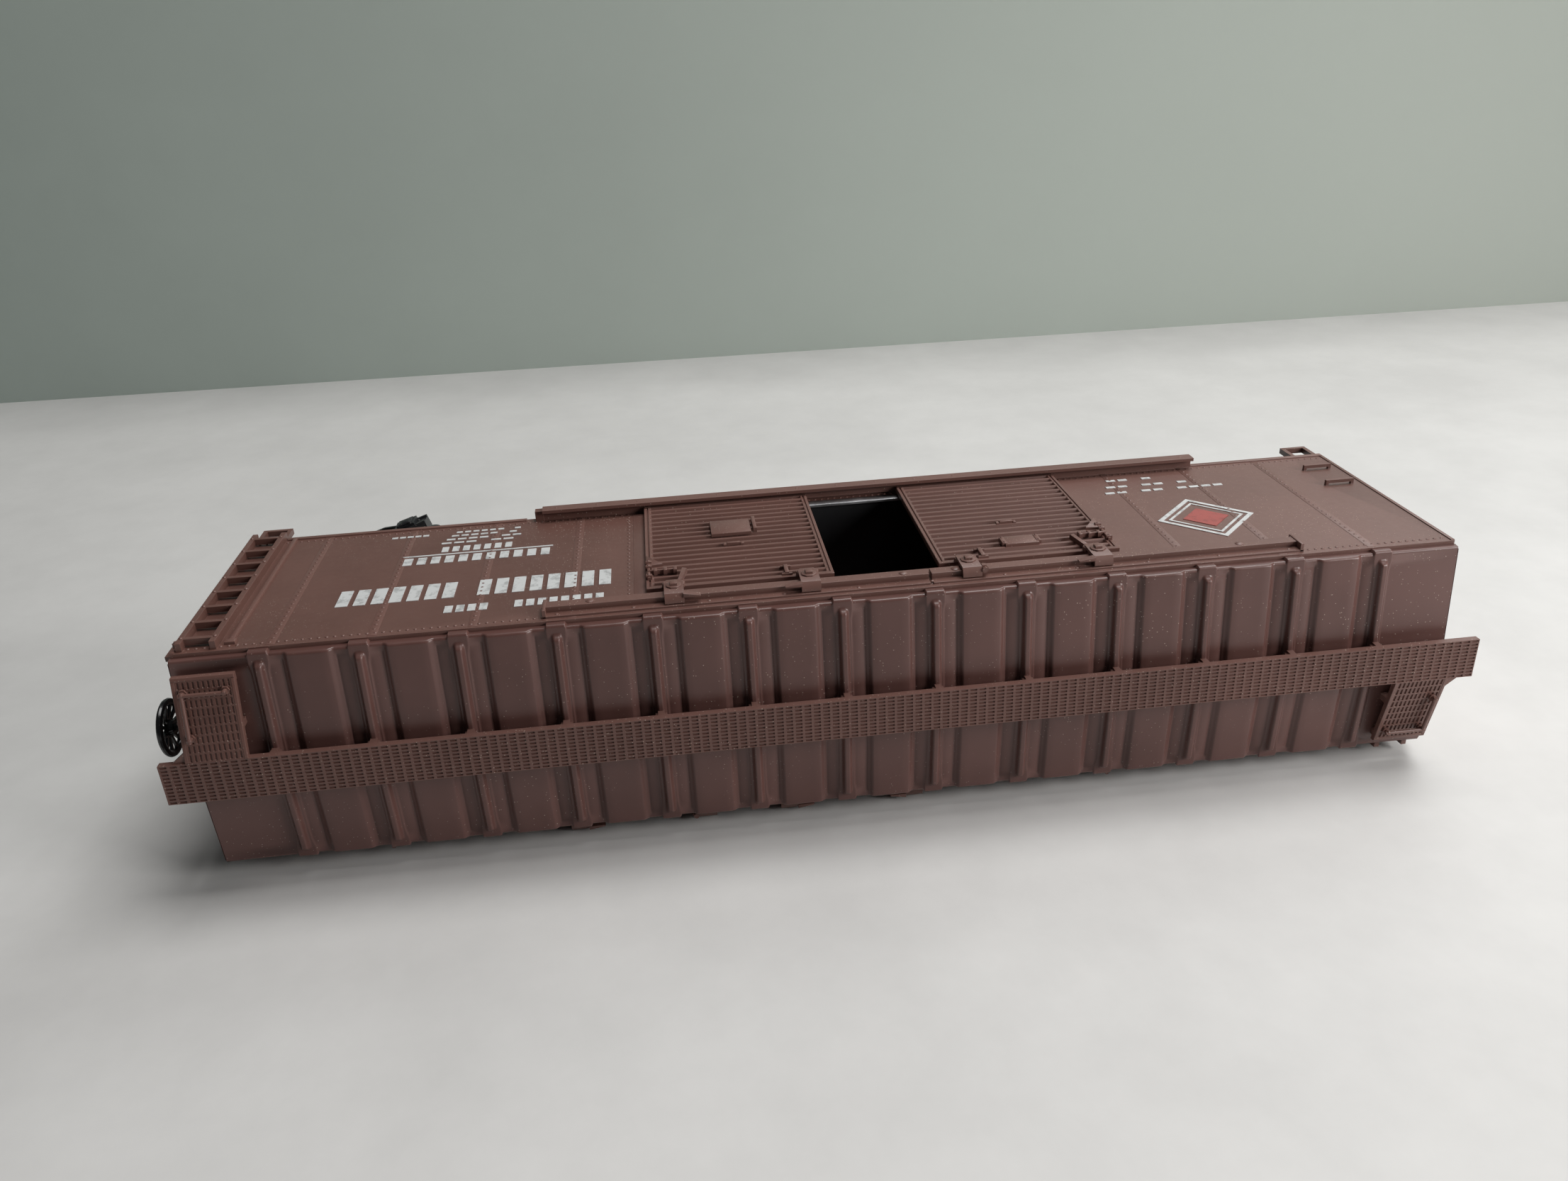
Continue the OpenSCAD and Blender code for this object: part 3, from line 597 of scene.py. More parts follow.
def side_details():
    """Sheet laps, rivet rows, sill edge, corner posts and door posts, on both sides."""
    shape = Shape()
    for x in SEAMS:
        z0, z1 = SILL_Z + 0.1, SIDE_TOP - 0.35
        side_plate(shape, x - 0.62, x + 0.62, z0, z1, 0.035, 0.02)
        for z in steps(SILL_ROW_Z + 1.2, TOP_ROW_Z - 1.2, RIVET_PITCH):
            side_rivet(shape, x, z, 0.25, 0.095, base=0.03)
    for x in steps(-HALF_L + 1.4, HALF_L - 1.0, 1.05):
        if not LADDER[0] - 0.3 < x < LADDER[0] + 1.1:
            side_rivet(shape, x, TOP_ROW_Z, 0.23, 0.12)
        side_rivet(shape, x, SILL_ROW_Z, 0.22, 0.1)
    for x in (29.0, -29.0):
        for z in steps(SILL_ROW_Z + 1.2, 44.4, RIVET_PITCH):
            side_rivet(shape, x, z, 0.23, 0.1)
        post = (x - 2.4, x - 0.7) if x > 0 else (x + 0.7, x + 2.4)
        side_plate(shape, *post, SILL_Z + 1.2, 44.8, 0.05, 0.03)
    # sill edge beside the door track
    for span in ((-HALF_L + 0.1, -65.6), (45.4, HALF_L - 6.0)):
        side_plate(shape, *span, SILL_Z + 0.02, SILL_Z + 0.85, 0.22, 0.08)
    # corner posts and the strip beside the ladder
    side_plate(shape, -HALF_L, -HALF_L + 0.55, SILL_Z, SIDE_TOP - 0.1, 0.14)
    side_plate(shape, HALF_L - 0.5, HALF_L, SILL_Z, SIDE_TOP - 0.1, 0.14)
    side_plate(shape, LADDER[0] - 1.7, LADDER[0] - 1.05, SILL_Z + 0.6, SIDE_TOP - 1.6, 0.32, 0.08)
    for z in steps(SILL_Z + 1.9, SIDE_TOP - 2.1, 5.1):
        for x in (LADDER[0] + 0.4, LADDER[1] - 0.4):
            side_rivet(shape, x, z, 0.26, 0.16, base=1.2)
    # foot of the strip and the bolt at the ladder's top corner
    side_plate(shape, LADDER[0] - 2.1, LADDER[0] - 0.7, SIDE_TOP - 2.5, SIDE_TOP - 1.5, 0.42, 0.12)
    bolt_x, bolt_z = LADDER[1] + 0.35, SIDE_TOP - 2.0
    hex_bolt(shape, bolt_x, bolt_z, 0.12, 0.5, 0.5)
    shape.rod(on_side(bolt_x, bolt_z, 0.5), on_side(bolt_x, bolt_z, 0.85), 0.24)
    # upper rail: end stops, the rivets of its ledge and the flat heads in its face
    for x in (RAIL[0] + 0.1, RAIL[1] - 0.55):
        side_plate(shape, x, x + 0.45, 45.2, 48.8, 1.25, 0.1)
    for x in steps(RAIL[0] + 2.0, RAIL[1] - 2.0, 9.9):
        side_rivet(shape, x, RAIL_LEDGE_Z, 0.26, 0.11, base=0.3)
    for x in (-9.2, -16.6, 34.2, -58.0):
        side_rivet(shape, x, RAIL_FACE_Z, 0.6, 0.2, base=RAIL_OUT)
    # lower track: bolts in the channel's face and its stops
    for x in steps(-63.5, 40.5, 6.5):
        side_rivet(shape, x, SILL_Z + 1.05, 0.24, 0.1, base=1.95)
    shape.half_turn()
    shape.piece("side_laps_and_rivets", BROWN)


side_details()

# ------------------------------------------------------------------ doors
DOOR_W = 26.4
DOOR_Z0, DOOR_Z1 = SILL_Z + 1.3, SIDE_TOP - 5.3
DOOR_BACK = 0.15
DOOR_OUT = 1.0
WEB_OUT = 0.32
HOOK_IN, HOOK_OUT, HOOK_TOP = 1.35, 1.82, SIDE_TOP - 1.0
DOOR_RIDGES = 17
DOOR_FRAME = 1.1
RIDGE_PITCH = (DOOR_Z1 - DOOR_Z0 - 2 * DOOR_FRAME) / DOOR_RIDGES
DASH_ROWS = (5, 9, 13)


def leaf_out(d_edge, z):
    """How far a leaf's pressed face stands out, d_edge from its nearest upright edge, at height z."""
    d_rail = min(z - DOOR_Z0, DOOR_Z1 - z)
    rim = max(1 - smoothstep(0.95, 1.25, d_edge), 1 - smoothstep(0.75, 1.0, d_rail))
    d_ridge = (z - DOOR_Z0 - DOOR_FRAME) / RIDGE_PITCH % 1 - 0.5
    ridge = 1 - smoothstep(0.12, 0.38, abs(d_ridge))
    groove = 0.22 * smoothstep(0.42, 0.5, d_edge) * (1 - smoothstep(0.6, 0.68, d_edge))
    if d_rail > 0.6:
        return WEB_OUT + (DOOR_OUT - WEB_OUT) * max(rim, ridge) - groove
    return WEB_OUT + (DOOR_OUT - WEB_OUT) * max(rim, ridge if d_rail > 1 else 0)


def leaf_sheet(shape, x0):
    """The pressed sheet of a leaf: frame, grooves and lengthwise ridges, closed at the back."""
    near_edge = (0, 0.07, 0.42, 0.5, 0.6, 0.68, 0.95, 1.03, 1.1, 1.17, 1.25)
    xs = [x0 + d for d in near_edge] + [x0 + DOOR_W - d for d in reversed(near_edge)]
    zs = [DOOR_Z0 + d for d in (0, 0.07, 0.59, 0.61, 0.75, 0.84, 0.92, 0.99)]
    for i in range(DOOR_RIDGES):
        base = DOOR_Z0 + DOOR_FRAME + i * RIDGE_PITCH
        zs += [base + RIDGE_PITCH * t
               for t in (0.02, 0.1, 0.16, 0.22, 0.28, 0.34, 0.5, 0.66, 0.72, 0.78, 0.84, 0.9)]
    zs += [DOOR_Z1 - d for d in (1.01, 0.99, 0.92, 0.84, 0.75, 0.61, 0.59, 0.07, 0)]
    rows = []
    for i, x in enumerate(xs):
        d_edge = min(x - x0, x0 + DOOR_W - x)
        row = []
        for k, z in enumerate(zs):
            worn = 0.07 if i in (0, len(xs) - 1) or k in (0, len(zs) - 1) else 0
            row.append(on_side(x, z, leaf_out(d_edge, z) - worn))
        rows.append(row)
    n = len(zs)
    shape.add([p for row in rows for p in row],
              [(i * n + k, (i + 1) * n + k, (i + 1) * n + k + 1, i * n + k + 1)
               for i in range(len(rows) - 1) for k in range(n - 1)])
    loop = ([row[0] for row in rows] + rows[-1][1:] + [row[-1] for row in reversed(rows[:-1])]
            + list(reversed(rows[0][1:-1])))
    shape.loft([loop, [(x, -(HALF_W + DOOR_BACK), z) for x, _, z in loop]], cap_start=False)


def claw(shape, x, wing):
    """Bracket that hooks over the upper rail: bolted boss, hook, and a gusset or an upright bolt."""
    foot = [(x - 1.6, DOOR_Z1 - 0.3), (x - 1.0, DOOR_Z1 - 1.2), (x + 1.0, DOOR_Z1 - 1.2),
            (x + 1.6, DOOR_Z1 - 0.3), (x + 1.4, DOOR_Z1 + 0.5), (x - 1.4, DOOR_Z1 + 0.5)]
    shape.prism(foot, DOOR_OUT - 0.1, 1.6, on_side, 0.12)
    profile = [(DOOR_Z1 - 0.3, HOOK_IN), (DOOR_Z1 - 0.3, HOOK_OUT - 0.1), (DOOR_Z1 - 0.2, HOOK_OUT),
               (HOOK_TOP - 0.5, HOOK_OUT), (HOOK_TOP - 0.42, HOOK_OUT - 0.06), (HOOK_TOP, HOOK_IN - 0.5),
               (HOOK_TOP, 0.45), (HOOK_TOP - 0.75, 0.45), (HOOK_TOP - 0.75, 1.2), (HOOK_TOP - 0.95, HOOK_IN)]
    shape.loft([[on_side(x + dx, z, out) for z, out in profile] for dx in (-1.35, 1.35)])
    bolt_z = DOOR_Z1 + 1.4
    shape.prism(polygon(x, bolt_z, 1.12, 8, 0.39), HOOK_OUT - 0.05, HOOK_OUT + 0.2, on_side, 0.06)
    side_plate(shape, x - 0.5, x + 0.5, bolt_z - 0.5, bolt_z + 0.5, 0.36, 0.1, base=HOOK_OUT + 0.2)
    if wing:
        x0 = x + wing * 1.2
        x1 = x0 + wing * 2.4
        outline = [(x0, HOOK_OUT), (x0, HOOK_IN - 0.15), (x1, HOOK_IN - 0.15), (x1, HOOK_IN + 0.05)]
        shape.prism(outline, HOOK_TOP - 0.9, HOOK_TOP, lambda u, v, w: on_side(u, w, v), 0.05)
    else:
        bolt_x = x - 1.75
        shape.rod(on_side(bolt_x, HOOK_TOP - 1.6, HOOK_IN), on_side(bolt_x, HOOK_TOP, HOOK_IN), 0.42, 8)
        shape.rod(on_side(bolt_x, HOOK_TOP - 1.25, HOOK_IN), on_side(bolt_x, HOOK_TOP - 0.5, HOOK_IN), 0.6, 6)
        side_plate(shape, x - 1.8, x - 1.1, HOOK_TOP - 1.2, HOOK_TOP - 0.6, 0.5, 0.05, base=1.1)


def door_leaf(name, x0, latch_dir, board_up, rear=False):
    """One sliding leaf with everything fixed to it; fitting() adds a plate to its outer face."""
    shape = Shape()

    def fitting(left, right, low, high, out, chamfer=0.1):
        side_plate(shape, left, right, low, high, out, chamfer, base=DOOR_OUT)

    x1 = x0 + DOOR_W
    near, far = (x1, x0) if latch_dir > 0 else (x0, x1)
    leaf_sheet(shape, x0)
    half_w, half_h = (2.5, 1.45) if board_up else (3.1, 2.65)
    board_z = DOOR_Z1 - (5.0 if board_up else 19.2)
    xm = (x0 + x1) / 2
    for i in DASH_ROWS:
        z = DOOR_Z0 + DOOR_FRAME + i * RIDGE_PITCH
        for x in steps(x0 + DOOR_FRAME + 0.9, x1 - DOOR_FRAME - 0.9, 1.2):
            if abs(x - xm) < half_w + 0.5 and abs(z - board_z) < half_h + 0.3:
                continue
            side_plate(shape, x - 0.34, x + 0.34, z - 0.16, z + 0.16, 0.3, 0.1, base=WEB_OUT)
    claw(shape, near - latch_dir * 3.8, -latch_dir)
    claw(shape, far + latch_dir * 3.8, 0 if board_up else latch_dir)
    # lever beside the far claw, between two lugs
    lever = far + latch_dir * 6.6
    fitting(lever - 0.3, lever + 0.3, DOOR_Z1 - 3.3, DOOR_Z1 - 0.6, 0.5, 0.12)
    for z in (DOOR_Z1 - 3.4, DOOR_Z1 - 0.9):
        fitting(lever - 0.75, lever + 0.75, z, z + 0.4, 0.3, 0.08)
    # latch: upright bar at the edge, arm with keepers, slanting stay and a wedge above
    bar = near - latch_dir * 0.45
    fitting(bar - 0.22, bar + 0.22, DOOR_Z1 - 8.2, DOOR_Z1 - 2.8, 0.45)
    for z in (DOOR_Z1 - 8.0, DOOR_Z1 - 6.4, DOOR_Z1 - 3.3):
        fitting(bar - 0.44, bar + 0.44, z - 0.3, z + 0.3, 0.68, 0.12)
        side_rivet(shape, bar, z, 0.2, 0.12, base=DOOR_OUT + 0.68)
    tip = near - latch_dir * 4.4
    fitting(*sorted((near - latch_dir * 0.3, tip)), DOOR_Z1 - 5.15, DOOR_Z1 - 4.75, 0.6)
    for d in (1.4, 2.8, 4.2):
        x = near - latch_dir * d
        fitting(x - 0.25, x + 0.25, DOOR_Z1 - 5.5, DOOR_Z1 - 4.4, 0.68)
    outline = [(tip, DOOR_Z1 - 1.0), (tip - latch_dir * 0.6, DOOR_Z1 - 1.0),
               (tip - latch_dir * 1.5, DOOR_Z1 - 4.6), (tip - latch_dir * 0.9, DOOR_Z1 - 4.9)]
    shape.prism(outline, DOOR_OUT - 0.1, DOOR_OUT + 0.65, on_side, 0.1)
    wedge = near - latch_dir * 0.1
    outline = [(wedge, DOOR_Z1 - 10.6), (wedge - latch_dir * 2.4, DOOR_Z1 - 7.3), (wedge, DOOR_Z1 - 7.0)]
    shape.prism(outline, DOOR_OUT - 0.1, DOOR_OUT + 0.4, on_side, 0.1)
    # tack board with its bolts or its cleat, and the small handhold
    board_out = 0.45
    if board_up:
        fitting(xm - half_w, xm + half_w, board_z - half_h, board_z + half_h, board_out)
        for bolt_x in (xm - 2.55, xm + 2.55):
            fitting(bolt_x - 0.35, bolt_x + 0.35, board_z - 1.1, board_z + 1.1, 0.55)
            for dz in (-0.8, 0.8):
                side_rivet(shape, bolt_x, board_z + dz, 0.2, 0.14, base=DOOR_OUT + 0.55)
    else:
        fitting(xm - 3.0, xm + half_w, board_z - half_h, board_z + half_h, board_out)
        fitting(xm - 3.9, xm - 3.35, board_z - half_h - 0.2, board_z + half_h - 0.6, 0.7)
    hold_z = DOOR_Z1 - (12.5 if board_up else 13.2)
    fitting(xm - 1.0, xm + 1.0, hold_z - 0.28, hold_z + 0.28, 0.38, 0.12)
    for dx in (-1.3, 1.3):
        fitting(xm + dx - 0.22, xm + dx + 0.22, hold_z - 0.4, hold_z + 0.4, 0.2, 0.08)
    if rear:
        shape.turn_round()
    piece = shape.piece("leaf_" + name, BROWN, name + "_leaf", smooth_angle=38)
    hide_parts("door_" + name)


door_leaf("front_right", 0.1, 1, False)
door_leaf("front_left", -41.3, -1, True)
door_leaf("rear_left", -43.2, -1, True, rear=True)
door_leaf("rear_right", -12.1, 1, False, rear=True)


def floor_edges():
    """The plated edge of the steel floor, seen in the doorways."""
    shape = Shape()
    side_plate(shape, -25.5, 25.5, SILL_Z + 1.45, SILL_Z + 3.2, 0.06, 0.05, sink=0.35, base=-0.4)
    shape.half_turn()
    shape.piece("steel_floor_edges", STEEL, slot="bright_steel")


floor_edges()

# ------------------------------------------------------------------ trucks
TRUCK_X, TRUCK_TURN = 71.0, 18.0
AXLE_X = 9.65
FRAME_OUT = 12.6
SIDEFRAME_TOP = [(-13, 6.9), (-8.6, 8.3), (-5, 8.7), (5, 8.7), (8.6, 8.3), (13, 6.9)]
SIDEFRAME_LOW = [(-13, 4.0), (-8, 4.2), (-5, 2.2), (5, 2.2), (8, 4.2), (13, 4.0)]


def on_frame(x, z, out):
    """A point that stands out from the sideframe's outer face."""
    return (x, FRAME_OUT + out, z)


def chord(shape, line, width, rise):
    """A raised flange along one edge of the sideframe's outer face; width is signed."""
    for (xa, za), (xb, zb) in zip(line, line[1:]):
        outline = [(xa, za), (xb, zb), (xb, zb + width), (xa, za + width)]
        shape.prism(outline, -0.08, rise, on_frame, 0.08)


def truck_trim(number, end):
    """Springs, journal lids, flanges and bolts of one truck."""
    shape = Shape()
    chord(shape, SIDEFRAME_TOP, -0.55, 0.3)
    chord(shape, SIDEFRAME_LOW, 0.5, 0.3)
    for x in (-1.62, 0, 1.62):
        shape.coil(x, FRAME_OUT - 0.5, 3.15, 5.85, 0.66, 0.2, 4.5)
    # spring seat, bolster end and its wear plates
    shape.prism([(-3.0, 2.5), (3.0, 2.5), (2.7, 3.1), (-2.7, 3.1)], -0.1, 0.55, on_frame, 0.1)
    shape.prism([(-2.5, 5.95), (2.5, 5.95), (2.2, 7.5), (-2.2, 7.5)], -0.1, 0.6, on_frame, 0.14)
    for x in (-1.4, 0, 1.4):
        shape.dome((x, FRAME_OUT + 0.6, 6.75), (0, 1, 0), 0.26, 0.16)
    for side in (-1, 1):
        # edges of the frame's windows
        for xa, za, xb, zb in ((3.9, 3.9, 6.8, 5.5), (3.9, 7.4, 6.6, 6.9), (3.9, 3.9, 3.9, 7.4)):
            shape.rod((side * xa, FRAME_OUT, za), (side * xb, FRAME_OUT, zb), 0.22, 8)
        for z in (4.4, 5.5, 6.6):
            shape.dome((side * 3.25, FRAME_OUT, z), (0, 1, 0), 0.24, 0.18)
        # journal box: slanted lid, hinge and its two lugs
        x = side * AXLE_X
        lid = [(x - 1.25, 4.35), (x + 1.25, 4.35), (x + 1.25, 6.5), (x - 1.25, 6.5)]
        shape.prism(lid, 0.65, 0.95, on_frame, 0.12)
        shape.dome((x, FRAME_OUT + 0.95, 5.4), (0, 1, 0), 0.75, 0.14, 12)
        shape.rod((x - 0.9, FRAME_OUT + 0.85, 6.75), (x + 0.9, FRAME_OUT + 0.85, 6.75), 0.28, 10)
        for dx in (-1.0, 1.0):
            shape.prism([(x + dx - 0.2, 6.4), (x + dx + 0.2, 6.4), (x + dx + 0.2, 7.1), (x + dx - 0.2, 7.1)],
                        0.6, 1.05, on_frame, 0.06)
        for dx in (-2.15, 2.15):
            shape.dome((x + dx, FRAME_OUT + 0.25, 5.6), (0, 1, 0), 0.26, 0.16)
            shape.rod((x + dx, FRAME_OUT - 0.4, 3.75), (x + dx, FRAME_OUT - 0.4, 4.3), 0.36, 6)
    shape.mirrored_y()
    # bolster's upper ribs, rim of the centre plate and side bearings
    for y in (-8.4, 8.4):
        shape.block((-1.3, y - 0.9, 8.5), (1.3, y + 0.9, 9.0), 0.1)
        for x in (-0.8, 0.8):
            shape.rod((x, y, 8.9), (x, y, 9.15), 0.3, 10)
    for x in (-2.6, 2.2):
        shape.block((x, -10.6, 8.5), (x + 0.4, -3.9, 8.85), 0.06)
        shape.block((x, 3.9, 8.5), (x + 0.4, 10.6, 8.85), 0.06)
    shape.move(TRUCK_TURN if end > 0 else 0, (end * TRUCK_X, 0, 0))
    shape.piece(f"truck_trim_{number}", BLACK, f"truck_{number}", slot="black_plastic")


truck_trim(1, 1)
truck_trim(2, -1)

# ------------------------------------------------------------------ brake gear and ends
WHEEL_AT = Vector((HALF_L + 4.1, -4.0, SIDE_TOP - 3.4))
WHEEL_R = 4.1
SPOKES = 12
END_FACE = HALF_L + 0.9


def hand_wheel():
    """Dished brake wheel with twelve flat spokes, its hub and its shaft."""
    shape = Shape()
    thick = 0.5
    radius = WHEEL_R - thick
    rim = []
    for a in circle(48):
        out = Vector((0, math.cos(a), math.sin(a)))
        rim.append([WHEEL_AT + out * (radius + thick * math.cos(t))
                    + Vector((thick * 0.9 * math.sin(t), 0, 0))
                    for t in circle(10)])
    rim.append(rim[0])
    shape.loft(rim, False, False)
    for a in circle(SPOKES):
        out = Vector((0, math.cos(a), math.sin(a)))
        side = Vector((0, -math.sin(a), math.cos(a)))
        rings = []
        for reach, half, x in ((0.6, 0.34, 0.28), (1.6, 0.24, 0.2), (2.7, 0.24, -0.02), (3.35, 0.36, -0.05)):
            c = WHEEL_AT + out * reach
            rings.append([c + side * sy * half + Vector((x + sx * 0.17, 0, 0))
                          for sx, sy in ((-1, -1), (1, -1), (1, 1), (-1, 1))])
        shape.loft(rings)
    for start, end, hub_r, sides in ((-0.65, 0.45, 1.05, 20), (0.4, 0.58, 0.62, 6), (-3.1, -0.6, 0.5, 16)):
        shape.rod(WHEEL_AT + Vector((start, 0, 0)), WHEEL_AT + Vector((end, 0, 0)), hub_r, sides)
    piece = shape.piece("spoked_brake_wheel", BLACK_GLOSS, "hand_wheel", slot="black_plastic")
    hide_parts("brake_wheel")


hand_wheel()


def end_details():
    """Rivets and brackets of both ends, and the brake gear at the +X end."""
    both = Shape()
    for side in (-1, 1):
        for z in steps(SILL_Z + 1.2, SIDE_TOP - 1.0, 1.35):
            both.dome((HALF_L, side * (HALF_W - 0.45), z), (1, 0, 0), 0.22, 0.1)
    for y in steps(-HALF_W + 1.5, HALF_W - 1.5, 1.35):
        both.dome((HALF_L, y, SIDE_TOP - 0.7), (1, 0, 0), 0.22, 0.1)
        if abs(y) > 3.4:
            both.dome((HALF_L, y, SILL_Z + 0.7), (1, 0, 0), 0.22, 0.1)
    for z in steps(SILL_Z + 2.2, SIDE_TOP - 3.6, 5.3):
        for y in (-HALF_W + 1.25, -HALF_W + 5.75):
            both.dome((HALF_L + 1.2, y, z), (1, 0, 0), 0.26, 0.16)
    # uncoupling lever on its two brackets
    both.rod((HALF_L + 1.5, 3.2, SILL_Z + 0.2), (HALF_L + 1.5, HALF_W - 1.5, SILL_Z + 0.2), 0.25, 10)
    both.rod((HALF_L + 1.5, HALF_W - 1.6, SILL_Z + 0.3), (HALF_L + 1.5, HALF_W - 1.6, SILL_Z - 2.2), 0.25, 10)
    for y in (5.0, HALF_W - 3.2):
        both.block((HALF_L - 0.05, y - 0.4, SILL_Z - 0.1), (HALF_L + 1.8, y + 0.4, SILL_Z + 0.6), 0.1)
    both.half_turn()
    both.piece("end_rivets_and_levers", BROWN)
    one = Shape()
    y, z = WHEEL_AT.y, WHEEL_AT.z
    for dy in (-1.35, 1.35):
        for dz in (-2.0, 1.6):
            one.dome((END_FACE + 1.3, y + dy, z + dz), (1, 0, 0), 0.28, 0.2)
    outline = [(y - 2.1, z - 2.9), (y + 2.1, z - 2.9), (y + 2.1, z + 2.5), (y - 2.1, z + 2.5)]
    one.prism(outline, -0.1, 0.35, lambda u, v, w: (END_FACE + w, u, v), 0.1)
    step_z = SILL_Z + 16.5
    for x in steps(END_FACE + 0.3, END_FACE + 2.4, 0.55):
        one.block((x - 0.1, y - 3.2, step_z + 0.55), (x + 0.1, y + 3.2, step_z + 0.68))
    for k in range(7):
        zc = SILL_Z + 1.2 + k * 0.85
        one.rod((END_FACE + 0.45, y, zc), (END_FACE + 0.45, y, zc + 0.6), 0.48, 8)
    for zc in (SILL_Z + 9.0, SILL_Z + 21.5):
        one.block((END_FACE - 0.1, y - 0.7, zc), (END_FACE + 1.05, y + 0.7, zc + 0.8), 0.12)
    one.piece("brake_gear_fittings", BROWN)


end_details()


def floor_fittings():
    """Rivet rows and the crossbearers' gussets under the floor."""
    shape = Shape()
    down = (0, 0, -1)
    for x in steps(-63, 63, 2.1):
        for y in (-1.7, 1.7):
            shape.dome((x, y, 10.5), down, 0.26, 0.16)
    for x in (-46, -30, -14, 14, 30, 46):
        for y in steps(3.4, 13.9, 1.75):
            for side in (-1, 1):
                shape.dome((x, side * y, 11.2), down, 0.24, 0.15)
        for side in (-1, 1):
            y0, y1 = side * 2.1, side * 4.1
            outline = [(x - 0.7, y0), (x + 0.7, y0), (x + 1.9, y1), (x - 1.9, y1)]
            shape.prism(outline, 12.3, 11.55, lambda u, v, w: (u, v, w), 0.05)
    for x in (-TRUCK_X, TRUCK_X):
        for y in steps(5.0, 14.0, 1.8):
            for side in (-1, 1):
                for dx in (-2.0, 2.0):
                    shape.dome((x + dx, side * y, 11.3), down, 0.3, 0.18)
    for side in (-1, 1):
        for x in steps(-52, 52, 4):
            shape.dome((x, side * 9, 11.8), down, 0.2, 0.12)
    shape.piece("underframe_rivets", BLACK, slot="black_plastic")


floor_fittings()

# ------------------------------------------------------------------ generic printed marks
INK_BASE = 0.065
INK_OUT = INK_BASE + 0.02
DIAMOND = (-58.8, SIDE_TOP - 15.6)


def mark(shape, x0, x1, z0, z1):
    """A plain printed bar."""
    shape.prism([(x0, z0), (x1, z0), (x1, z1), (x0, z1)], INK_BASE - 0.1, INK_OUT, on_side)


def mark_row(shape, x_start, x_end, z0, z1, width, gap, skips=()):
    """A row of plain bars from x_start towards x_end, with some left out."""
    step = math.copysign(width + gap, x_end - x_start)
    count = int(abs(x_end - x_start + math.copysign(gap, x_end - x_start)) / (width + gap))
    for i in range(count):
        if i not in skips:
            x = x_start + step * i
            mark(shape, *sorted((x, x + math.copysign(width, step))), z0, z1)


def side_marks():
    """Bars and a diamond in place of any lettering, at the same places on both sides."""
    white = Shape()
    top = SIDE_TOP
    mark_row(white, 70.0, 30.0, top - 15.3, top - 10.2, 1.7, 0.75, skips=(7,))
    mark_row(white, 54.4, 31.0, top - 7.4, top - 5.3, 1.1, 0.5, skips=(4, 5))
    mark_row(white, 62.8, 41.0, top - 25.4, top - 22.9, 1.3, 0.75)
    mark(white, 40.6, 63.2, top - 26.3, top - 25.95)
    mark_row(white, 57.6, 46.0, top - 28.9, top - 27.0, 1.0, 0.6)
    for i, z in enumerate((30.2, 31.6, 33.0, 34.4)):
        mark_row(white, 58.0 - 0.6 * i, 45.5, top - z - 0.55, top - z, 1.5 - 0.2 * i, 0.4, skips=(3 + i,))
    mark_row(white, 66.2, 59.5, top - 34.6, top - 34.0, 0.9, 0.3)
    for i, z in enumerate((27.9, 30.4, 33.2)):
        mark_row(white, -47.6 - i, -68.0 + 5 * i, top - z - 0.7, top - z, 1.5, 0.5, skips=(2, 5))
    for outer_r, inner_r in ((7.6, 6.7), (5.9, 5.4)):
        outer, inner = polygon(*DIAMOND, outer_r, 4), polygon(*DIAMOND, inner_r, 4)
        for k in range(4):
            j = (k + 1) % 4
            white.prism([inner[k], outer[k], outer[j], inner[j]], -0.05, INK_OUT, on_side)
    white.half_turn()
    white.piece("printed_bars", WHITE_INK)
    red = Shape()
    red.prism(polygon(*DIAMOND, 3.6, 4), -0.05, INK_OUT, on_side)
    red.half_turn()
    red.piece("printed_diamond", RED_INK)


side_marks()


# ------------------------------------------------------------------ stage, light and camera
def stage_plane(name, corners, material):
    """A flat four-cornered part of the stage, in metres."""
    mesh = bpy.data.meshes.new(name)
    mesh.from_pydata([Vector(c) for c in corners], [], [(0, 1, 2, 3)])
    mesh.materials.append(material)
    add_object(name, mesh)


def one_sided(name, colour, rough, spots, scale, painted_light_colour=None):
    """Plain stage paint, clear when seen from behind; given painted_light_colour, it shades over to that
    lighter colour towards -X as painted light.
    """
    n = Nodes(name)
    dark = tuple(c * (1 - spots) for c in colour)
    cloud = n.ramp(n.noise(scale, 6, 0.65), [(0.35, grey(0)), (0.65, grey(1))])
    paint = n.mix(cloud, dark, colour)
    # painted light: the paint turns lighter towards -X, standing in for more light falling there
    if painted_light_colour:
        across = n.add("ShaderNodeSeparateXYZ")
        n.link(n.coords(), across.inputs[0])
        fac = n.math("ADD", n.math("MULTIPLY", across.outputs[0], -1.6), 0.45, clamp=True)
        paint = n.mix(fac, paint, painted_light_colour)
    n.link(paint, n.shader.inputs["Base Color"])
    n.shader.inputs["Roughness"].default_value = rough
    clear = n.add("ShaderNodeBsdfTransparent")
    mixer = n.add("ShaderNodeMixShader")
    n.link(n.add("ShaderNodeNewGeometry").outputs["Backfacing"], mixer.inputs[0])
    n.link(n.shader.outputs[0], mixer.inputs[1])
    n.link(clear.outputs[0], mixer.inputs[2])
    n.link(mixer.outputs[0], n.tree.nodes["Material Output"].inputs["Surface"])
    return n.mat


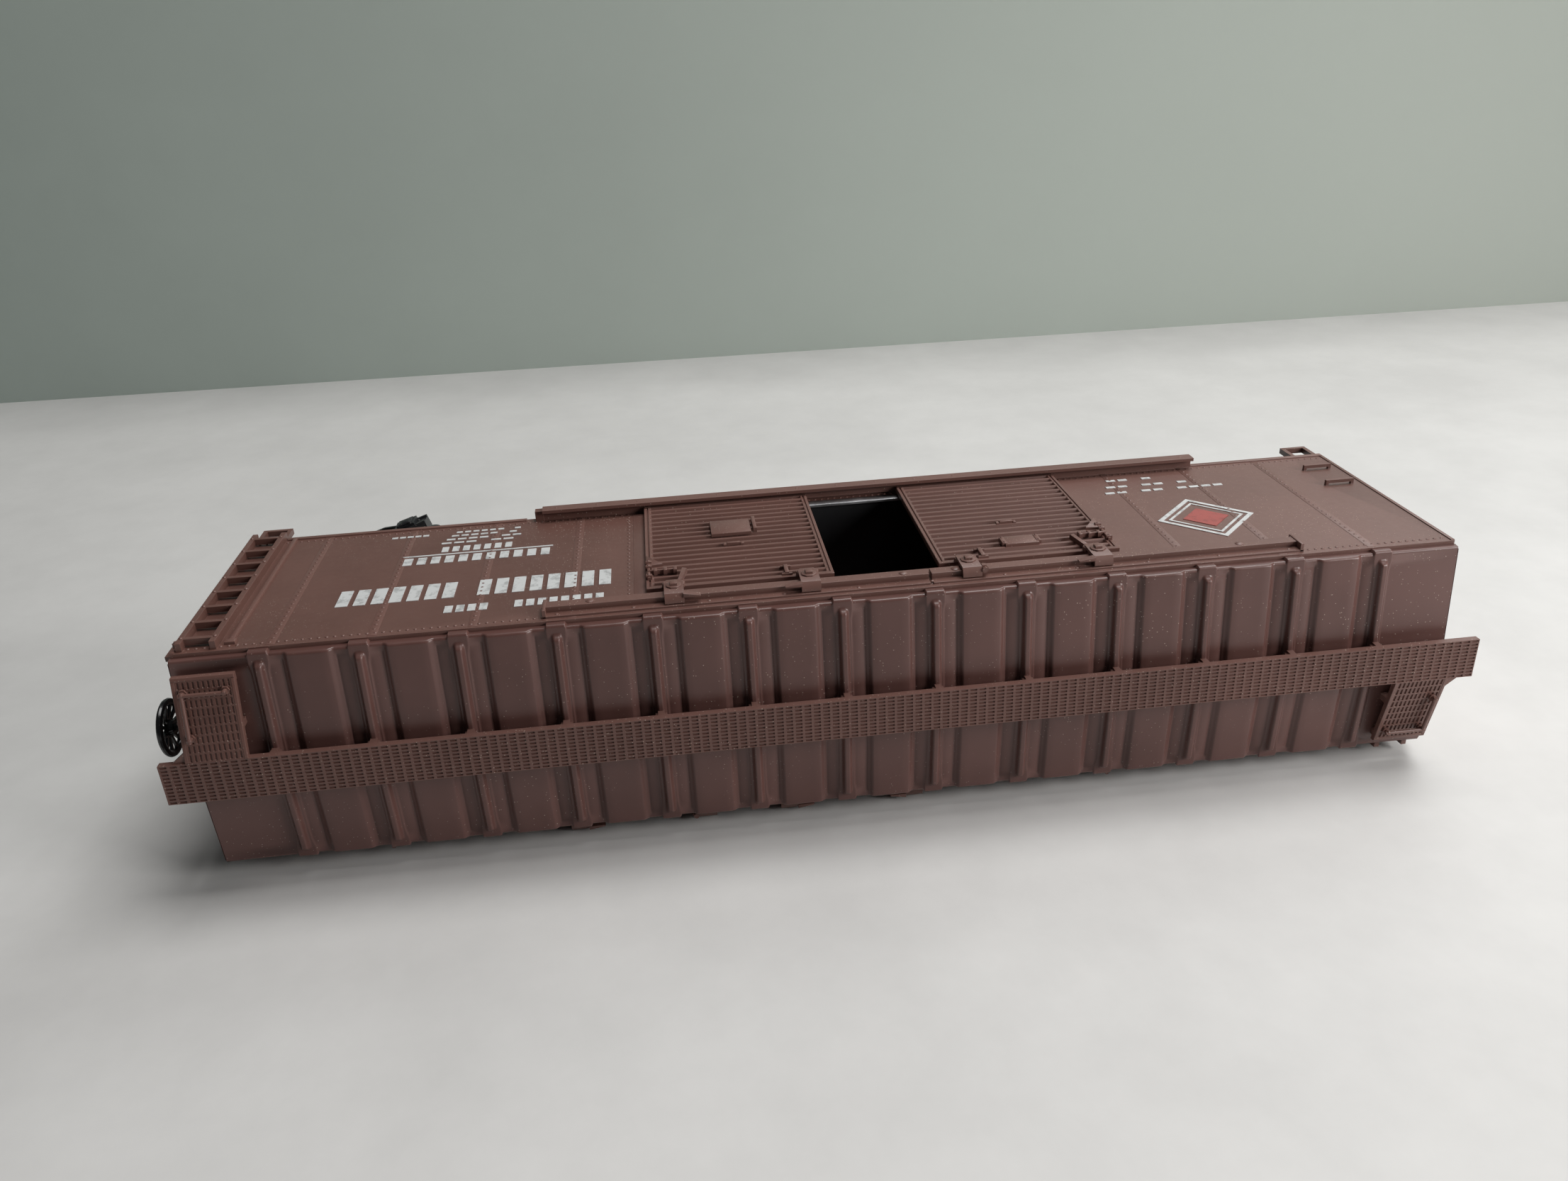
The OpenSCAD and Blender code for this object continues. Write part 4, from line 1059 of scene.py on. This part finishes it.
# the car lies on its +Y side, so the floor stands upright in the car's own axes
FLOOR_Y = 0.01917
STAGE_HALF = 3
WALL_NEAR, WALL_FAR = -0.2214 + 0.078, -0.2214 - 0.078
WALL_TOP = -0.2
stage_plane("floor", [(-STAGE_HALF, FLOOR_Y, -0.5), (STAGE_HALF, FLOOR_Y, -0.5),
                      (STAGE_HALF, FLOOR_Y, 2), (-STAGE_HALF, FLOOR_Y, 2)],
            one_sided("pale_floor", (0.62, 0.615, 0.605), 0.75, 0.1, 25))
# the backdrop's lighter colour towards -X is painted light
stage_plane("backdrop", [(-STAGE_HALF, WALL_TOP, WALL_NEAR), (STAGE_HALF, WALL_TOP, WALL_FAR),
                         (STAGE_HALF, FLOOR_Y, WALL_FAR), (-STAGE_HALF, FLOOR_Y, WALL_NEAR)],
            one_sided("soft_backdrop", (0.43, 0.50, 0.46), 0.9, 0.1, 6, (0.52, 0.56, 0.51)))

# the camera looks down on the car from beside its roof, turned so that the car lies level
camera_data = bpy.data.cameras.new("camera")
camera_data.sensor_width = 36
camera_data.lens = 27.916
camera_data.clip_start = 0.01
camera = add_object("camera", camera_data)
right = Vector((-0.99250, 0.04282, 0.11449)).normalized()
back = Vector((0.08502, -0.43115, 0.89826)).normalized()
up = back.cross(right).normalized()
right = up.cross(back)
place = Matrix((right, up, back)).transposed().to_4x4()
place.translation = Vector((21.893, -89.5, 198.065)) * MM
camera.matrix_world = place
bpy.context.scene.camera = camera


def area_light(name, position, target, size, power, colour):
    """A soft rectangular light that faces target; places in metres."""
    data = bpy.data.lights.new(name, "AREA")
    data.shape = "RECTANGLE"
    data.size, data.size_y = size
    data.energy = power
    data.color = colour
    obj = add_object(name, data)
    obj.location = position
    aim = Vector(target) - Vector(position)
    obj.rotation_mode = "QUATERNION"
    obj.rotation_quaternion = aim.to_track_quat("-Z", "Y")


area_light("overhead", (-0.3, -1.1, -0.1), (0, 0, 0.03), (0.7, 0.6), 10.0, (1.0, 0.99, 0.975))
area_light("right_front", (-0.31, -0.15, 0.22), (-0.06, 0, 0.02), (0.16, 0.16), 1.05, (1.0, 0.985, 0.97))
area_light("right_back", (-0.36, -0.44, -0.32), (-0.06, 0, 0.0), (0.4, 0.2), 0.9, (0.97, 1.0, 0.99))

world = bpy.data.worlds.new("studio")
bpy.context.scene.world = world
world.use_nodes = True
background = world.node_tree.nodes["Background"]
background.inputs["Color"].default_value = (0.93, 0.96, 1.0, 1)
background.inputs["Strength"].default_value = 0.04
bpy.context.scene.view_settings.view_transform = "Standard"
